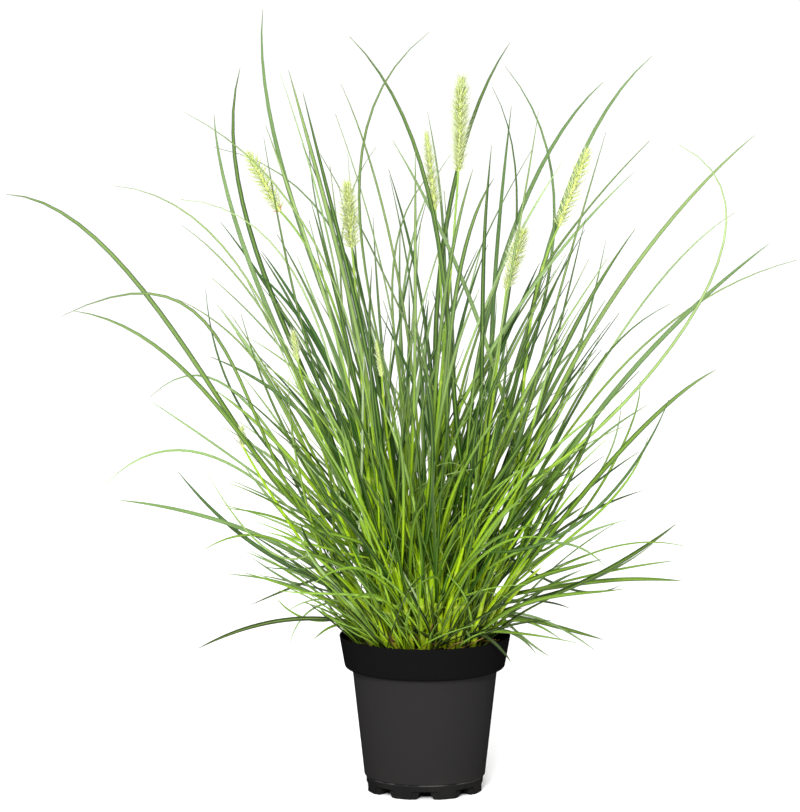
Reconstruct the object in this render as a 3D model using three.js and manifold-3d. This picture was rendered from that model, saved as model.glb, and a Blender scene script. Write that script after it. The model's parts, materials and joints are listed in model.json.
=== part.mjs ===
// Potted little bunny fountain grass: a tussock of keeled blades and soft flower heads in a nursery pot.
// Millimetres, +Z up. The origin is the centre of the pot's underside, on the surface that it stands on.
// The front of the plant faces -Y, with +X to its right.
import * as THREE from "three";
import { mergeVertices } from "three/addons/utils/BufferGeometryUtils.js";
import Module from "manifold-3d";

const wasm = await Module();
wasm.setup();

// The pot: rim, collar band, wall, foot ring and floor
const POT_HEIGHT = 158;
const RIM_RADIUS = 86;
const BAND_FOOT_RADIUS = 80.5;
const BAND_FOOT_HEIGHT = 126;
const WALL_TOP_RADIUS = 72.5;
const WALL_FOOT_RADIUS = 61;
const FOOT_RADIUS = 58.7;
const FOOT_RING_HEIGHT = 15;
const FOOT_RING_INNER_RADIUS = 49;
const WALL = 1.8;
const FLOOR_UNDERSIDE = 9.5;
const CENTRE_PAD_RADIUS = 12;
const POT_SIDES = 30;
const NOTCHES = 8;
const NOTCH_HEIGHT = 8.5;
const NOTCH_WIDTH = 27;
const NOTCH_CLEAR_WIDTH = 11;
const DRAIN_RADIUS = 4.5;
const DRAIN_CIRCLE_RADIUS = 40;

// The compost, and the gap kept between pieces that touch
const SOIL_HEIGHT = 146;
const SOIL_LUMP = 2.2;
const SOIL_SIDES = 24;
const GAP = 0.35;

// How deep the shoots stand in the compost, and how far their holes reach above the seats
const ROOTING_DEPTH = 16;
const HOLE_ABOVE_SEAT = 12;

// The crown: seats on a sunflower's spiral, and stems that lean out more towards its edge, in degrees
const CROWN_RADIUS = 57;
const SEATS = 49;
const GOLDEN_ANGLE = Math.PI * (3 - Math.sqrt(5));
const SEAT_ABOVE_SOIL = 3;
const LEAN_INSIDE = 4;
const LEAN_OUTSIDE = 29;
const STEM_LENGTHS = [70, 160];
const SHORTER_OUTSIDE = 25;
const TILLER_RADII = [2.6, 1.6];
const CULM_RADII = [2.6, 0.9];
const TILLER_STRETCHES = 2;
const CULM_STRETCHES = 5;

// Blades that stand clear of the rest: how many a shoot may carry, how many of the nearest shoots are tried,
// and how deep they spread at their height
const LEADERS_A_SHOOT = 3;
const NEAREST_SHOOTS = 5;
const LEADER_DEPTH = 60;
const LEADER_DEPTH_BY_HEIGHT = 0.35;
const LEADER_RISE = 300;

// The other blades: how many a shoot carries, how they part, droop and lengthen, and how far they reach
const BLADES_A_SHOOT = 8;
const PARTING = [0.1, 0.4];
const BENDING = [-0.6, 0.6];
const LOW_OUTWARD = 0.75;
const DROOP = [4, 26];
const LOW_DROOP = 60;
const MOST_DROOP = 115;
const SHORTEST = 90;
const LENGTHENING = 330;
const LENGTH_SPREAD = [0.65, 1.1];
const WIDTHS = [2.6, 4.4];
const TWISTS = [-100, 100];
const REACH_ASIDE = 225;
const REACH_DEEP = 300;
const REACH_UP = 687;

// The eye that the culms and leading blades are measured from, in front of the pot's axis, and the level above
// the ground that their heights are measured from
const EYE = new THREE.Vector3(-25, -5000, 1077);
const PLAN_LEVEL = 7;

// How far apart the blades of different shoots must stay, as cells of the space round the plant
const CELL = 2.3;
const CLEAR_CELLS = 2;
const SPACE = { min: [-450, -450, PLAN_LEVEL], cells: [392, 392, 352] };
const SAMPLE_STEP = 2;
const TRIES = 26;
const TRIES_FOR_FIRST = 312;
const JOINED_SHARE = 0.2;
const SHARED = -1;
const RIM_CLEARANCE = 4;

// The heads: rows and columns of spikelets on open ones and on narrow young ones, and the core's share
const OPEN_WIDTH = 10;
const OPEN_HEAD = [16, 10];
const YOUNG_HEAD = [7, 8];
const HEAD_CORE = 0.3;

const SEED = 5;
const DEGREE = Math.PI / 180;
const UP = new THREE.Vector3(0, 0, 1);

const COLOUR = {
  pot: 0x1d1d1e,
  soil: 0x2c1a12,
  culm: 0x9dbb3c,
  head: 0xcbd68a,
  leaf: [0x4f7a2f, 0x5d8a35, 0x6a9a3a, 0x557f4a],
};

// Each flowering culm by equal steps from the compost to its head, then the tip of the head, as seen from the
// front: x and height over the plan's level in the plane of the pot's axis, and the depths of its foot and head
const CULMS = [
  { name: "a", wide: 19, depth: [-20, -35],
    by: [[-30, 139], [-50, 290], [-81, 452], [-144, 578]], tip: [-178, 640] },
  { name: "b", wide: 22, depth: [-32, -60],
    by: [[-40, 139], [-54, 275], [-63, 410], [-73, 542]], tip: [-78, 611] },
  { name: "c", wide: 15, depth: [20, 40],
    by: [[10, 139], [17, 290], [18, 440], [10, 580]], tip: [1, 659] },
  { name: "d", wide: 21, depth: [-45, -50],
    by: [[3, 139], [7, 300], [20, 455], [33, 618]], tip: [36, 714] },
  { name: "e", wide: 16, depth: [-25, -10],
    by: [[46, 139], [88, 282], [101, 430], [133, 563]], tip: [163, 644] },
  { name: "f", wide: 18, depth: [-38, -80],
    by: [[30, 139], [50, 262], [68, 390], [81, 500]], tip: [99, 564] },
  { name: "g", wide: 8, depth: [-15, -30],
    by: [[-50, 139], [-98, 206], [-144, 277], [-182, 341]], tip: [-184, 363] },
  { name: "h", wide: 8, depth: [5, -50],
    by: [[-36, 139], [-68, 238], [-101, 334], [-127, 428]], tip: [-132, 460] },
  { name: "i", wide: 8, depth: [-5, -70],
    by: [[-12, 139], [-22, 232], [-34, 324], [-43, 412]], tip: [-48, 450] },
];

// The blades that stand clear of the rest, each as its width and the points that it passes by equal steps
// after its root, seen from the front as the culms are
const LEADERS = [
  [5, [-172, 336], [-280, 500], [-417, 594]],
  [2.6, [-105, 352], [-176, 508], [-310, 604]],
  [2.6, [-78, 348], [-122, 500], [-243, 590]],
  [2.6, [-98, 325], [-150, 460], [-243, 564]],
  [5, [-98, 350], [-167, 507], [-210, 675]],
  [5, [-100, 365], [-168, 540], [-184, 721]],
  [5, [-65, 390], [-130, 582], [-161, 779]],
  [2.6, [-55, 372], [-110, 548], [-239, 676]],
  [2.6, [-42, 362], [-78, 532], [-209, 642]],
  [3, [-112, 425], [-160, 652]],
  [2.6, [-80, 455], [-144, 717]],
  [5, [-52, 368], [-88, 545], [-136, 719]],
  [4.6, [-45, 355], [-77, 522], [-122, 697]],
  [2.6, [-48, 345], [-90, 505], [-115, 654]],
  [5, [30, 384], [8, 576], [-75, 752]],
  [3.4, [-35, 392], [-66, 592], [4, 756]],
  [3.2, [-8, 364], [-32, 540], [-84, 705]],
  [2.8, [-28, 440], [-89, 675]],
  [2.6, [-58, 345], [-84, 505], [-49, 642]],
  [2.6, [-60, 410], [-77, 635]],
  [2.8, [-3, 400], [-35, 614]],
  [3, [-14, 340], [-33, 490], [10, 620]],
  [3, [-22, 345], [-22, 500], [26, 635]],
  [4.6, [24, 340], [29, 488], [69, 611]],
  [5, [12, 380], [22, 570], [84, 746]],
  [3.6, [85, 368], [128, 550], [79, 722]],
  [2.8, [58, 350], [85, 510], [112, 678]],
  [4.6, [66, 435], [85, 683]],
  [2.8, [62, 360], [88, 535], [67, 702]],
  [4.8, [45, 372], [86, 555], [177, 707]],
  [5, [85, 378], [130, 568], [225, 732]],
  [3.2, [115, 425], [179, 657]],
  [3, [112, 375], [160, 572]],
  [3, [128, 365], [180, 549]],
  [3.6, [165, 352], [283, 506], [252, 645]],
  [4.8, [118, 362], [206, 520], [328, 654]],
  [3, [122, 330], [206, 470], [309, 578]],
  [5, [135, 322], [228, 440], [342, 547]],
  [3, [128, 335], [232, 455], [370, 530]],
  [3, [108, 297], [160, 405], [244, 485]],
  [5, [136, 265], [211, 355], [292, 419]],
  [4, [128, 248], [198, 308], [244, 389]],
  [3, [122, 230], [184, 284], [223, 352]],
  [3.2, [130, 243], [187, 322], [215, 410]],
  [3, [114, 246], [170, 308], [197, 389]],
  [4.8, [165, 207], [252, 264]],
  [3, [125, 214], [189, 240], [259, 241]],
  [3, [150, 200], [229, 243]],
  [3, [158, 209], [252, 226]],
  [4.8, [160, 203], [259, 206]],
  [4.6, [105, 166], [179, 145]],
  [3, [105, 170], [171, 134]],
  [3, [80, 166], [125, 128]],
  [3, [98, 186], [145, 177]],
  [3, [125, 205], [196, 201]],
  [3, [118, 243], [181, 219]],
  [3.6, [-133, 277], [-222, 334], [-320, 304]],
  [4.8, [-152, 230], [-248, 316]],
  [2.6, [-150, 232], [-218, 314]],
  [4.6, [-167, 252], [-308, 287]],
  [3.4, [-98, 260], [-192, 306]],
  [3.4, [-106, 220], [-161, 250], [-224, 236]],
  [3, [-118, 209], [-181, 235]],
  [3, [-105, 240], [-161, 256]],
  [3, [-128, 199], [-200, 213]],
  [3, [-115, 192], [-185, 215]],
  [3.4, [-105, 208], [-176, 181]],
  [3, [-82, 170], [-122, 168], [-150, 189]],
  [3, [-100, 182], [-136, 142]],
  [4.6, [-135, 166], [-229, 136]],
  [3, [-92, 186], [-137, 175]],
  [3, [-108, 198], [-161, 210]],
  [3, [-100, 220], [-161, 220]],
  [3, [-115, 194], [-174, 229]],
  [4, [-150, 328], [-220, 467], [-364, 473]],
  [4.8, [-148, 305], [-233, 412], [-351, 478]],
  [3.4, [-118, 296], [-186, 393], [-275, 392]],
  [3, [-158, 305], [-275, 389]],
  [3, [-102, 303], [-158, 412], [-248, 491]],
  [3, [-108, 290], [-166, 387], [-253, 456]],
  [3, [-118, 295], [-188, 388], [-219, 500]],
  [3, [-125, 330], [-184, 475]],
  [3, [105, 320], [175, 455]],
];

// A seeded draw from 0 to 1
let state = SEED;
function draw() {
  state = (Math.imul(state, 1664525) + 1013904223) >>> 0;
  return state / 4294967296;
}

function between([low, high]) {
  return low + (high - low) * draw();
}

// The one polynomial that passes through the points by equal steps of t from 0 to 1
function along(points, t) {
  const last = points.length - 1;
  const place = new THREE.Vector3();
  points.forEach((point, i) => {
    let weight = 1;
    for (let j = 0; j <= last; j++) {
      if (j !== i) weight *= (last * t - j) / (i - j);
    }
    place.addScaledVector(point, weight);
  });
  return place;
}

// The unit direction of that polynomial at t
function heading(points, t) {
  const step = 0.01;
  return along(points, Math.min(1, t + step)).sub(along(points, Math.max(0, t - step))).normalize();
}

// A point seen at x and a height over the plan's level in the plane of the pot's axis, moved along the line of
// sight to its depth
function seen(x, height, depth) {
  return EYE.clone().lerp(new THREE.Vector3(x, 0, PLAN_LEVEL + height), 1 - depth / EYE.y);
}

// A closed tube over rings of points that run anticlockwise about its heading, with flat or pointed ends
function tube(rings) {
  const position = [];
  const index = [];
  const starts = [];
  for (const ring of rings) {
    starts.push(position.length / 3);
    ring.forEach((p) => position.push(p.x, p.y, p.z));
  }
  for (let r = 0; r + 1 < rings.length; r++) {
    const [low, high] = [starts[r], starts[r + 1]];
    const sides = Math.max(rings[r].length, rings[r + 1].length);
    for (let i = 0; i < sides; i++) {
      const j = (i + 1) % sides;
      if (rings[r].length === 1) index.push(low, high + j, high + i);
      else if (rings[r + 1].length === 1) index.push(low + i, low + j, high);
      else index.push(low + i, low + j, high + j, low + i, high + j, high + i);
    }
  }
  const [first, last] = [rings[0], rings[rings.length - 1]];
  for (let i = 1; i + 1 < first.length; i++) index.push(0, i + 1, i);
  const top = starts[starts.length - 1];
  for (let i = 1; i + 1 < last.length; i++) index.push(top, top + i, top + i + 1);
  const geometry = new THREE.BufferGeometry();
  geometry.setAttribute("position", new THREE.Float32BufferAttribute(position, 3));
  geometry.setIndex(index);
  return geometry;
}

// A three.js geometry as a solid that can be joined and cut
function solid(geometry) {
  const bare = geometry.clone();
  bare.deleteAttribute("normal");
  bare.deleteAttribute("uv");
  const merged = mergeVertices(bare, 1e-4);
  return new wasm.Manifold(
    new wasm.Mesh({
      numProp: 3,
      vertProperties: merged.attributes.position.array,
      triVerts: new Uint32Array(merged.index.array),
    }),
  );
}

// A solid as a named mesh of its own colour
function piece(name, shape, color, roughness) {
  const { vertProperties, triVerts } = shape.getMesh();
  const geometry = new THREE.BufferGeometry();
  geometry.setAttribute("position", new THREE.BufferAttribute(vertProperties, 3));
  geometry.setIndex(new THREE.BufferAttribute(triVerts, 1));
  const mesh = new THREE.Mesh(geometry, new THREE.MeshStandardMaterial({ color, roughness, metalness: 0 }));
  mesh.name = name;
  return mesh;
}

// The inside of the pot, from the middle of its floor up to the rim, as radius and height
const POT_INSIDE = [
  [0, FLOOR_UNDERSIDE + WALL],
  [WALL_FOOT_RADIUS - WALL - 3, FLOOR_UNDERSIDE + WALL],
  [WALL_FOOT_RADIUS - WALL, FOOT_RING_HEIGHT + 1],
  [WALL_TOP_RADIUS - WALL, BAND_FOOT_HEIGHT - 3],
  [BAND_FOOT_RADIUS - WALL, BAND_FOOT_HEIGHT + 3],
  [RIM_RADIUS - 1.4 * WALL, POT_HEIGHT - 1.5],
  [RIM_RADIUS - WALL, POT_HEIGHT],
];

// The pot: one moulded wall turned about Z, standing on a notched foot ring and a small pad at its middle
function makePot() {
  const outside = [
    [RIM_RADIUS - 0.6, POT_HEIGHT],
    [RIM_RADIUS, POT_HEIGHT - 1.4],
    [BAND_FOOT_RADIUS, BAND_FOOT_HEIGHT + 1.5],
    [BAND_FOOT_RADIUS - 2, BAND_FOOT_HEIGHT - 1.5],
    [WALL_TOP_RADIUS + 1, BAND_FOOT_HEIGHT - 4],
    [WALL_TOP_RADIUS, BAND_FOOT_HEIGHT - 6],
    [WALL_FOOT_RADIUS, FOOT_RING_HEIGHT + 1.5],
    [FOOT_RADIUS + 0.9, FOOT_RING_HEIGHT - 0.5],
    [FOOT_RADIUS, 0],
    [FOOT_RING_INNER_RADIUS, 0],
    [FOOT_RING_INNER_RADIUS - 1, FLOOR_UNDERSIDE],
    [CENTRE_PAD_RADIUS + 1, FLOOR_UNDERSIDE],
    [CENTRE_PAD_RADIUS, 0],
    [0, 0],
  ];
  const profile = [...POT_INSIDE, ...outside].map(([radius, height]) => new THREE.Vector2(radius, height));
  const turned = new THREE.LatheGeometry(profile.reverse(), POT_SIDES);
  let pot = solid(turned.rotateX(Math.PI / 2));
  for (let k = 0; k < NOTCHES; k++) {
    const angle = -Math.PI / 2 + (k * 2 * Math.PI) / NOTCHES;
    const place = (geometry, radius, height) =>
      solid(geometry.translate(radius, 0, height).rotateZ(angle));
    const outer = new THREE.BoxGeometry(8, NOTCH_WIDTH, 2 * NOTCH_HEIGHT);
    const clear = new THREE.BoxGeometry(30, NOTCH_CLEAR_WIDTH, 2 * NOTCH_HEIGHT);
    const drain = new THREE.CylinderGeometry(DRAIN_RADIUS, DRAIN_RADIUS, 12, 6).rotateX(Math.PI / 2);
    pot = pot
      .subtract(place(outer, FOOT_RADIUS + 1, 0))
      .subtract(place(clear, FOOT_RADIUS, 0))
      .subtract(place(drain, DRAIN_CIRCLE_RADIUS, FLOOR_UNDERSIDE));
  }
  return pot;
}

// The lumps of the compost, three crossed waves
function soilTop(x, y) {
  const broad = Math.sin(x * 0.11 + 1) * Math.cos(y * 0.13);
  const fine = Math.sin(x * 0.23 - y * 0.19);
  return SOIL_HEIGHT + SOIL_LUMP * (broad + 0.5 * fine);
}

// The compost: the pot's inside a gap smaller, with a lumpy top and a plain hole for the foot of each shoot
function makeSoil(feet) {
  const inset = Math.cos(Math.PI / POT_SIDES);
  const rings = POT_INSIDE.slice(0, 5).map(([radius, height], i) => [
    Math.max(0, radius * inset - GAP),
    height + (i < 2 ? GAP : 0),
    false,
  ]);
  const [[bandFoot, low], [bandTop, high]] = POT_INSIDE.slice(4, 6);
  const wall = bandFoot + ((bandTop - bandFoot) * (SOIL_HEIGHT - low)) / (high - low);
  const edge = wall * inset - GAP;
  for (const share of [1, 0.75, 0.5, 0.25, 0]) rings.push([edge * share, SOIL_HEIGHT, true]);
  const made = rings.map(([radius, height, lumpy]) => {
    const count = radius > 0 ? SOIL_SIDES : 1;
    return Array.from({ length: count }, (_, i) => {
      const angle = (i * 2 * Math.PI) / SOIL_SIDES;
      const [x, y] = [radius * Math.cos(angle), radius * Math.sin(angle)];
      return new THREE.Vector3(x, y, lumpy ? soilTop(x, y) : height);
    });
  });
  let soil = solid(tube(made));
  for (const foot of feet) soil = soil.subtract(foot);
  return soil;
}

// The owner of each cell of space: 0 is free, a shoot is its number from 1, and SHARED is several shoots'
const owners = new Int8Array(SPACE.cells[0] * SPACE.cells[1] * SPACE.cells[2]);

// The whole numbers of the cell that holds a point
function cellOf(p) {
  return [p.x, p.y, p.z].map((value, i) => Math.floor((value - SPACE.min[i]) / CELL));
}

function cellIndex(i, j, k) {
  return (i * SPACE.cells[1] + j) * SPACE.cells[2] + k;
}

// The points of a curve a few millimetres apart
function samples(points) {
  const reach = points.slice(1).reduce((sum, p, i) => sum + p.distanceTo(points[i]), 0);
  const steps = Math.ceil(reach / SAMPLE_STEP);
  return Array.from({ length: steps + 1 }, (_, i) => along(points, i / steps));
}

// Whether a curve keeps clear of other shoots, the compost, the pot's rim and the surface below
function isClear(places, owner) {
  return places.every((p, i) => {
    const radius = Math.hypot(p.x, p.y);
    const overRim = radius > RIM_RADIUS - 3 * RIM_CLEARANCE ? RIM_CLEARANCE : -RIM_CLEARANCE;
    if (radius < RIM_RADIUS + RIM_CLEARANCE && p.z < POT_HEIGHT + overRim) return false;
    const found = owners[cellIndex(...cellOf(p))];
    return found === 0 || (found === owner && i < JOINED_SHARE * places.length);
  });
}

// Marks the cells round each point of a curve as its shoot's
function take(places, owner) {
  for (const p of places) {
    const [ci, cj, ck] = cellOf(p);
    for (let i = ci - CLEAR_CELLS; i <= ci + CLEAR_CELLS; i++) {
      for (let j = cj - CLEAR_CELLS; j <= cj + CLEAR_CELLS; j++) {
        for (let k = ck - CLEAR_CELLS; k <= ck + CLEAR_CELLS; k++) {
          const cell = cellIndex(i, j, k);
          if (owners[cell] === 0) owners[cell] = owner;
          else if (owners[cell] !== owner) owners[cell] = SHARED;
        }
      }
    }
  }
}

// A direction that leans from upright by an angle in degrees, towards an azimuth in radians
function leaning(angle, azimuth) {
  const out = Math.sin(angle * DEGREE);
  return new THREE.Vector3(out * Math.cos(azimuth), out * Math.sin(azimuth), Math.cos(angle * DEGREE));
}

// A stem's number of straight stretches, and the point at t on them
function stretches(shoot) {
  return shoot.culm ? CULM_STRETCHES : TILLER_STRETCHES;
}

function onStem(shoot, t) {
  const steps = stretches(shoot);
  const i = Math.min(steps - 1, Math.floor(t * steps));
  return along(shoot.points, i / steps).lerp(along(shoot.points, (i + 1) / steps), t * steps - i);
}

// The seats of the shoots, on a sunflower's spiral
function seat(k) {
  const radius = CROWN_RADIUS * Math.sqrt((k + 0.5) / SEATS);
  const angle = k * GOLDEN_ANGLE;
  const [x, y] = [radius * Math.cos(angle), radius * Math.sin(angle)];
  return new THREE.Vector3(x, y, soilTop(x, y) + SEAT_ABOVE_SOIL);
}

// The culms take the free seats nearest to their feet, and leafy tillers stand in all the others
function plantShoots() {
  const free = Array.from({ length: SEATS }, (_, k) => seat(k));
  const shoots = [];
  for (const culm of CULMS) {
    const [near, far] = culm.depth;
    const points = culm.by.map(([x, z], i) => seen(x, z, near + ((far - near) * i) / 3));
    free.sort((a, b) => a.distanceTo(points[0]) - b.distanceTo(points[0]));
    points[0] = free.shift();
    const tip = seen(...culm.tip, far);
    const base = points[3];
    const name = `culm_${culm.name}`;
    shoots.push({ name, culm, points, head: [base, tip], blades: [], radii: CULM_RADII });
  }
  free.sort((a, b) => Math.hypot(a.x, a.y) - Math.hypot(b.x, b.y));
  free.forEach((foot, i) => {
    const share = Math.hypot(foot.x, foot.y) / CROWN_RADIUS;
    const azimuth = Math.atan2(foot.y, foot.x);
    const lean = LEAN_INSIDE + (LEAN_OUTSIDE - LEAN_INSIDE) * share;
    const tall = between(STEM_LENGTHS) - SHORTER_OUTSIDE * share;
    const middle = foot.clone().addScaledVector(leaning(lean * 0.7, azimuth), tall / 2);
    const top = middle.clone().addScaledVector(leaning(lean * 1.15, azimuth), tall / 2);
    const name = `tiller_${String(i + 1).padStart(2, "0")}`;
    shoots.push({ name, points: [foot, middle, top], blades: [], radii: TILLER_RADII });
  });
  shoots.forEach((shoot, k) => {
    take(samples(shoot.points), k + 1);
    if (!shoot.culm) return;
    const [base, tip] = shoot.head;
    const girth = Math.max(0, shoot.culm.wide / 2 - CELL);
    for (let n = 0; n < 6; n++) {
      const aside = leaning(90, (n * Math.PI) / 3).multiplyScalar(girth);
      take(samples([base, tip]).map((p) => p.add(aside)), SEATS + 1 + k);
    }
  });
  return shoots;
}

// Gives a blade to a shoot if its way is clear
function grow(shoots, k, points, wide, twist) {
  const places = samples(points);
  if (!isClear(places, k + 1)) return false;
  take(places, k + 1);
  shoots[k].blades.push({ points, wide, twist });
  return true;
}

// A shoot's first blade runs on from a tiller's top, and the others part from it at a share of its height
function partingHeight(shoot, share) {
  if (shoot.culm) return 0.1 + 0.35 * share;
  return shoot.blades.length === 0 ? 1 : 0.1 + 0.8 * share;
}

// The leading blades, each from the nearest shoot that leaves its way clear
function growLeaders(shoots) {
  for (const [wide, ...by] of LEADERS) {
    const [x, z] = by[0];
    const high = by[by.length - 1][1];
    const twist = between(TWISTS);
    for (let attempt = 0; attempt < TRIES; attempt++) {
      const depth = (draw() - 0.5) * (LEADER_DEPTH + LEADER_DEPTH_BY_HEIGHT * high);
      const target = new THREE.Vector3(
        (CROWN_RADIUS * x) / (Math.abs(x) + CROWN_RADIUS),
        (CROWN_RADIUS * depth) / (Math.abs(depth) + CROWN_RADIUS),
        SOIL_HEIGHT,
      );
      const share = Math.min(1, (PLAN_LEVEL + z - SOIL_HEIGHT) / LEADER_RISE + 0.2 * draw());
      const order = shoots.map((_, k) => k).filter((k) => shoots[k].blades.length < LEADERS_A_SHOOT);
      order.sort((a, b) => shoots[a].points[0].distanceTo(target) - shoots[b].points[0].distanceTo(target));
      const grown = order.slice(0, NEAREST_SHOOTS).some((k) => {
        const root = onStem(shoots[k], partingHeight(shoots[k], share));
        const deeper = (depth - root.y) / by.length;
        const steps = by.map(([px, pz], i) => seen(px, pz, root.y + deeper * (i + 1)));
        return grow(shoots, k, [root, ...steps], wide, twist);
      });
      if (grown) break;
    }
  }
}

// A blade's curve from its root: it sets out along one direction, and its tip falls along another
function arch(root, parting, last, long) {
  const turn = root.clone().addScaledVector(parting, long * 0.55);
  const tip = turn.clone().addScaledVector(last, long * 0.5);
  return [root, root.clone().lerp(tip, 0.5).lerp(turn, 0.5), tip];
}

// The other blades: on each shoot the lowest arch out and down, the highest are the longest and most upright
function growRest(shoots) {
  for (let j = 0; j < BLADES_A_SHOOT; j++) {
    shoots.forEach((shoot, k) => {
      if (shoot.blades.length > j) return;
      const foot = shoot.points[0];
      const outside = Math.hypot(foot.x, foot.y) / CROWN_RADIUS;
      const outward = leaning(90, Math.atan2(foot.y, foot.x));
      const tries = shoot.blades.length === 0 ? TRIES_FOR_FIRST : TRIES;
      for (let attempt = 0; attempt < tries; attempt++) {
        const rise = (j + draw()) / BLADES_A_SHOOT;
        const height = partingHeight(shoot, rise);
        const aside = leaning(90, 2 * Math.PI * draw());
        const parting = heading(shoot.points, height)
          .addScaledVector(aside, between(PARTING))
          .addScaledVector(outward, (1 - rise) * LOW_OUTWARD * outside)
          .normalize();
        const droop = between(DROOP) + (1 - rise) * LOW_DROOP * draw();
        const last = Math.min(MOST_DROOP, Math.acos(parting.z) / DEGREE + droop);
        const shrink = 1 - (0.5 * attempt) / tries;
        const long = SHORTEST + LENGTHENING * Math.pow(rise, 0.6) * between(LENGTH_SPREAD) * shrink;
        const bend = Math.atan2(parting.y, parting.x) + between(BENDING);
        const points = arch(onStem(shoot, height), parting, leaning(last, bend), long);
        const wide = between(WIDTHS);
        const twist = between(TWISTS);
        const tip = points[2];
        const inside = Math.hypot(tip.x / REACH_ASIDE, tip.y / REACH_DEEP) < 1 && tip.z < REACH_UP;
        if (inside && grow(shoots, k, points, wide, twist)) return;
      }
    });
  }
}

// The two directions across a curve at t: the width of a blade that leans to an azimuth, and its upper side
function across(points, t, azimuth, twist) {
  const direction = heading(points, t);
  const side = new THREE.Vector3(-Math.sin(azimuth), Math.cos(azimuth), 0)
    .projectOnPlane(direction)
    .normalize()
    .applyAxisAngle(direction, twist * DEGREE * t);
  return { side, upper: direction.clone().cross(side) };
}

// A three-sided ring: two edges a half width to each side, a little above the middle, and a keel below it
function ring(place, { side, upper }, half, above, below) {
  return [
    place.clone().addScaledVector(side, half).addScaledVector(upper, above),
    place.clone().addScaledVector(side, -half).addScaledVector(upper, above),
    place.clone().addScaledVector(upper, -below),
  ];
}

// A stem's ring, an equal-sided triangle of a given radius
function stemRing(place, frame, radius) {
  return ring(place, frame, radius * Math.cos(Math.PI / 6), radius * Math.sin(Math.PI / 6), radius);
}

// The azimuth that a curve leans to from end to end
function azimuthOf(points) {
  const chord = points[points.length - 1].clone().sub(points[0]);
  return Math.atan2(chord.y, chord.x);
}

// A stem's rings from its foot in the compost to its top
function stemRings(shoot, azimuth) {
  const steps = stretches(shoot);
  const [wide, narrow] = shoot.radii;
  const foot = shoot.points[0];
  const level = across([foot, foot.clone().add(UP)], 0, azimuth, 0);
  const rings = [
    stemRing(foot.clone().addScaledVector(UP, -ROOTING_DEPTH), level, wide),
    stemRing(foot, level, wide),
  ];
  for (let i = 1; i <= steps; i++) {
    const t = i / steps;
    const frame = across(shoot.points, t, azimuth, 0);
    rings.push(stemRing(along(shoot.points, t), frame, wide + (narrow - wide) * t));
  }
  return rings;
}

// The foot of a shoot as the plain hole that it stands in
function footHole(shoot) {
  const foot = shoot.points[0];
  const azimuth = shoot.culm ? 0 : azimuthOf(shoot.blades[0].points);
  const frame = across([foot, foot.clone().add(UP)], 0, azimuth, 0);
  const radius = shoot.radii[0] + GAP / Math.sin(Math.PI / 6);
  const hole = [-ROOTING_DEPTH - GAP, HOLE_ABOVE_SEAT].map((height) =>
    stemRing(foot.clone().addScaledVector(UP, height), frame, radius),
  );
  return solid(tube(hole));
}

// The rings of a blade after its root, which narrow to its tip
function bladeRings({ points, wide, twist }, first) {
  const reach = points.slice(1).reduce((sum, p, i) => sum + p.distanceTo(points[i]), 0);
  const turn = heading(points, 0).angleTo(heading(points, 1)) / DEGREE;
  const steps = turn < 22 || reach < 130 ? 3 : Math.min(7, 3 + Math.ceil(turn / 35));
  const azimuth = azimuthOf(points);
  const rings = [];
  for (let i = first; i < steps; i++) {
    const t = Math.pow(i / steps, 1.1);
    const half = (wide / 2) * Math.min(1, 0.6 + 2 * t) * Math.pow(1 - t * t, 0.6);
    const keel = Math.max(0.9, half * 0.75);
    rings.push(ring(along(points, t), across(points, t, azimuth, twist), half, keel * 0.4, keel * 0.6));
  }
  rings.push([along(points, 1)]);
  return rings;
}

// A tiller's stem runs on into its first blade, a culm's ends at its head, and the other blades are joined on
function shootSolid(shoot) {
  const [heart, ...others] = shoot.blades;
  if (shoot.culm) others.unshift(heart);
  const azimuth = shoot.culm ? 0 : azimuthOf(heart.points);
  const rings = stemRings(shoot, azimuth);
  if (!shoot.culm) rings.push(...bladeRings(heart, 1));
  let body = solid(tube(rings));
  for (const blade of others) body = body.add(solid(tube(bladeRings(blade, 0))));
  return body.decompose().reduce((most, part) => (part.volume() > most.volume() ? part : most));
}

// A flower head: a spindle raised in staggered rows of pointed spikelets that lean to its tip
function headSolid([base, tip], wide) {
  const [rows, columns] = wide > OPEN_WIDTH ? OPEN_HEAD : YOUNG_HEAD;
  const axis = tip.clone().sub(base);
  const long = axis.length();
  const direction = axis.clone().normalize();
  const side = new THREE.Vector3(0, 1, 0).projectOnPlane(direction).normalize();
  const other = direction.clone().cross(side);
  const start = base.clone().addScaledVector(direction, GAP);
  const lean = long / rows;
  const rings = [];
  for (let r = 0; r <= rows; r++) {
    const t = r / rows;
    const girth = Math.pow(Math.sin(Math.PI * Math.min(1, 0.1 + 0.86 * t)), 0.6);
    const core = HEAD_CORE * (wide / 2) * girth + 0.5;
    rings.push(
      Array.from({ length: columns }, (_, c) => {
        const angle = (c * 2 * Math.PI) / columns;
        const raised = (r + c) % 2 === 0 && r > 0 && r < rows;
        const radius = raised ? (wide / 2) * girth : core;
        return start
          .clone()
          .addScaledVector(direction, t * (long - lean) + (raised ? lean : 0))
          .addScaledVector(side, radius * Math.cos(angle))
          .addScaledVector(other, radius * Math.sin(angle));
      }),
    );
  }
  return solid(spiked(rings));
}

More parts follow.
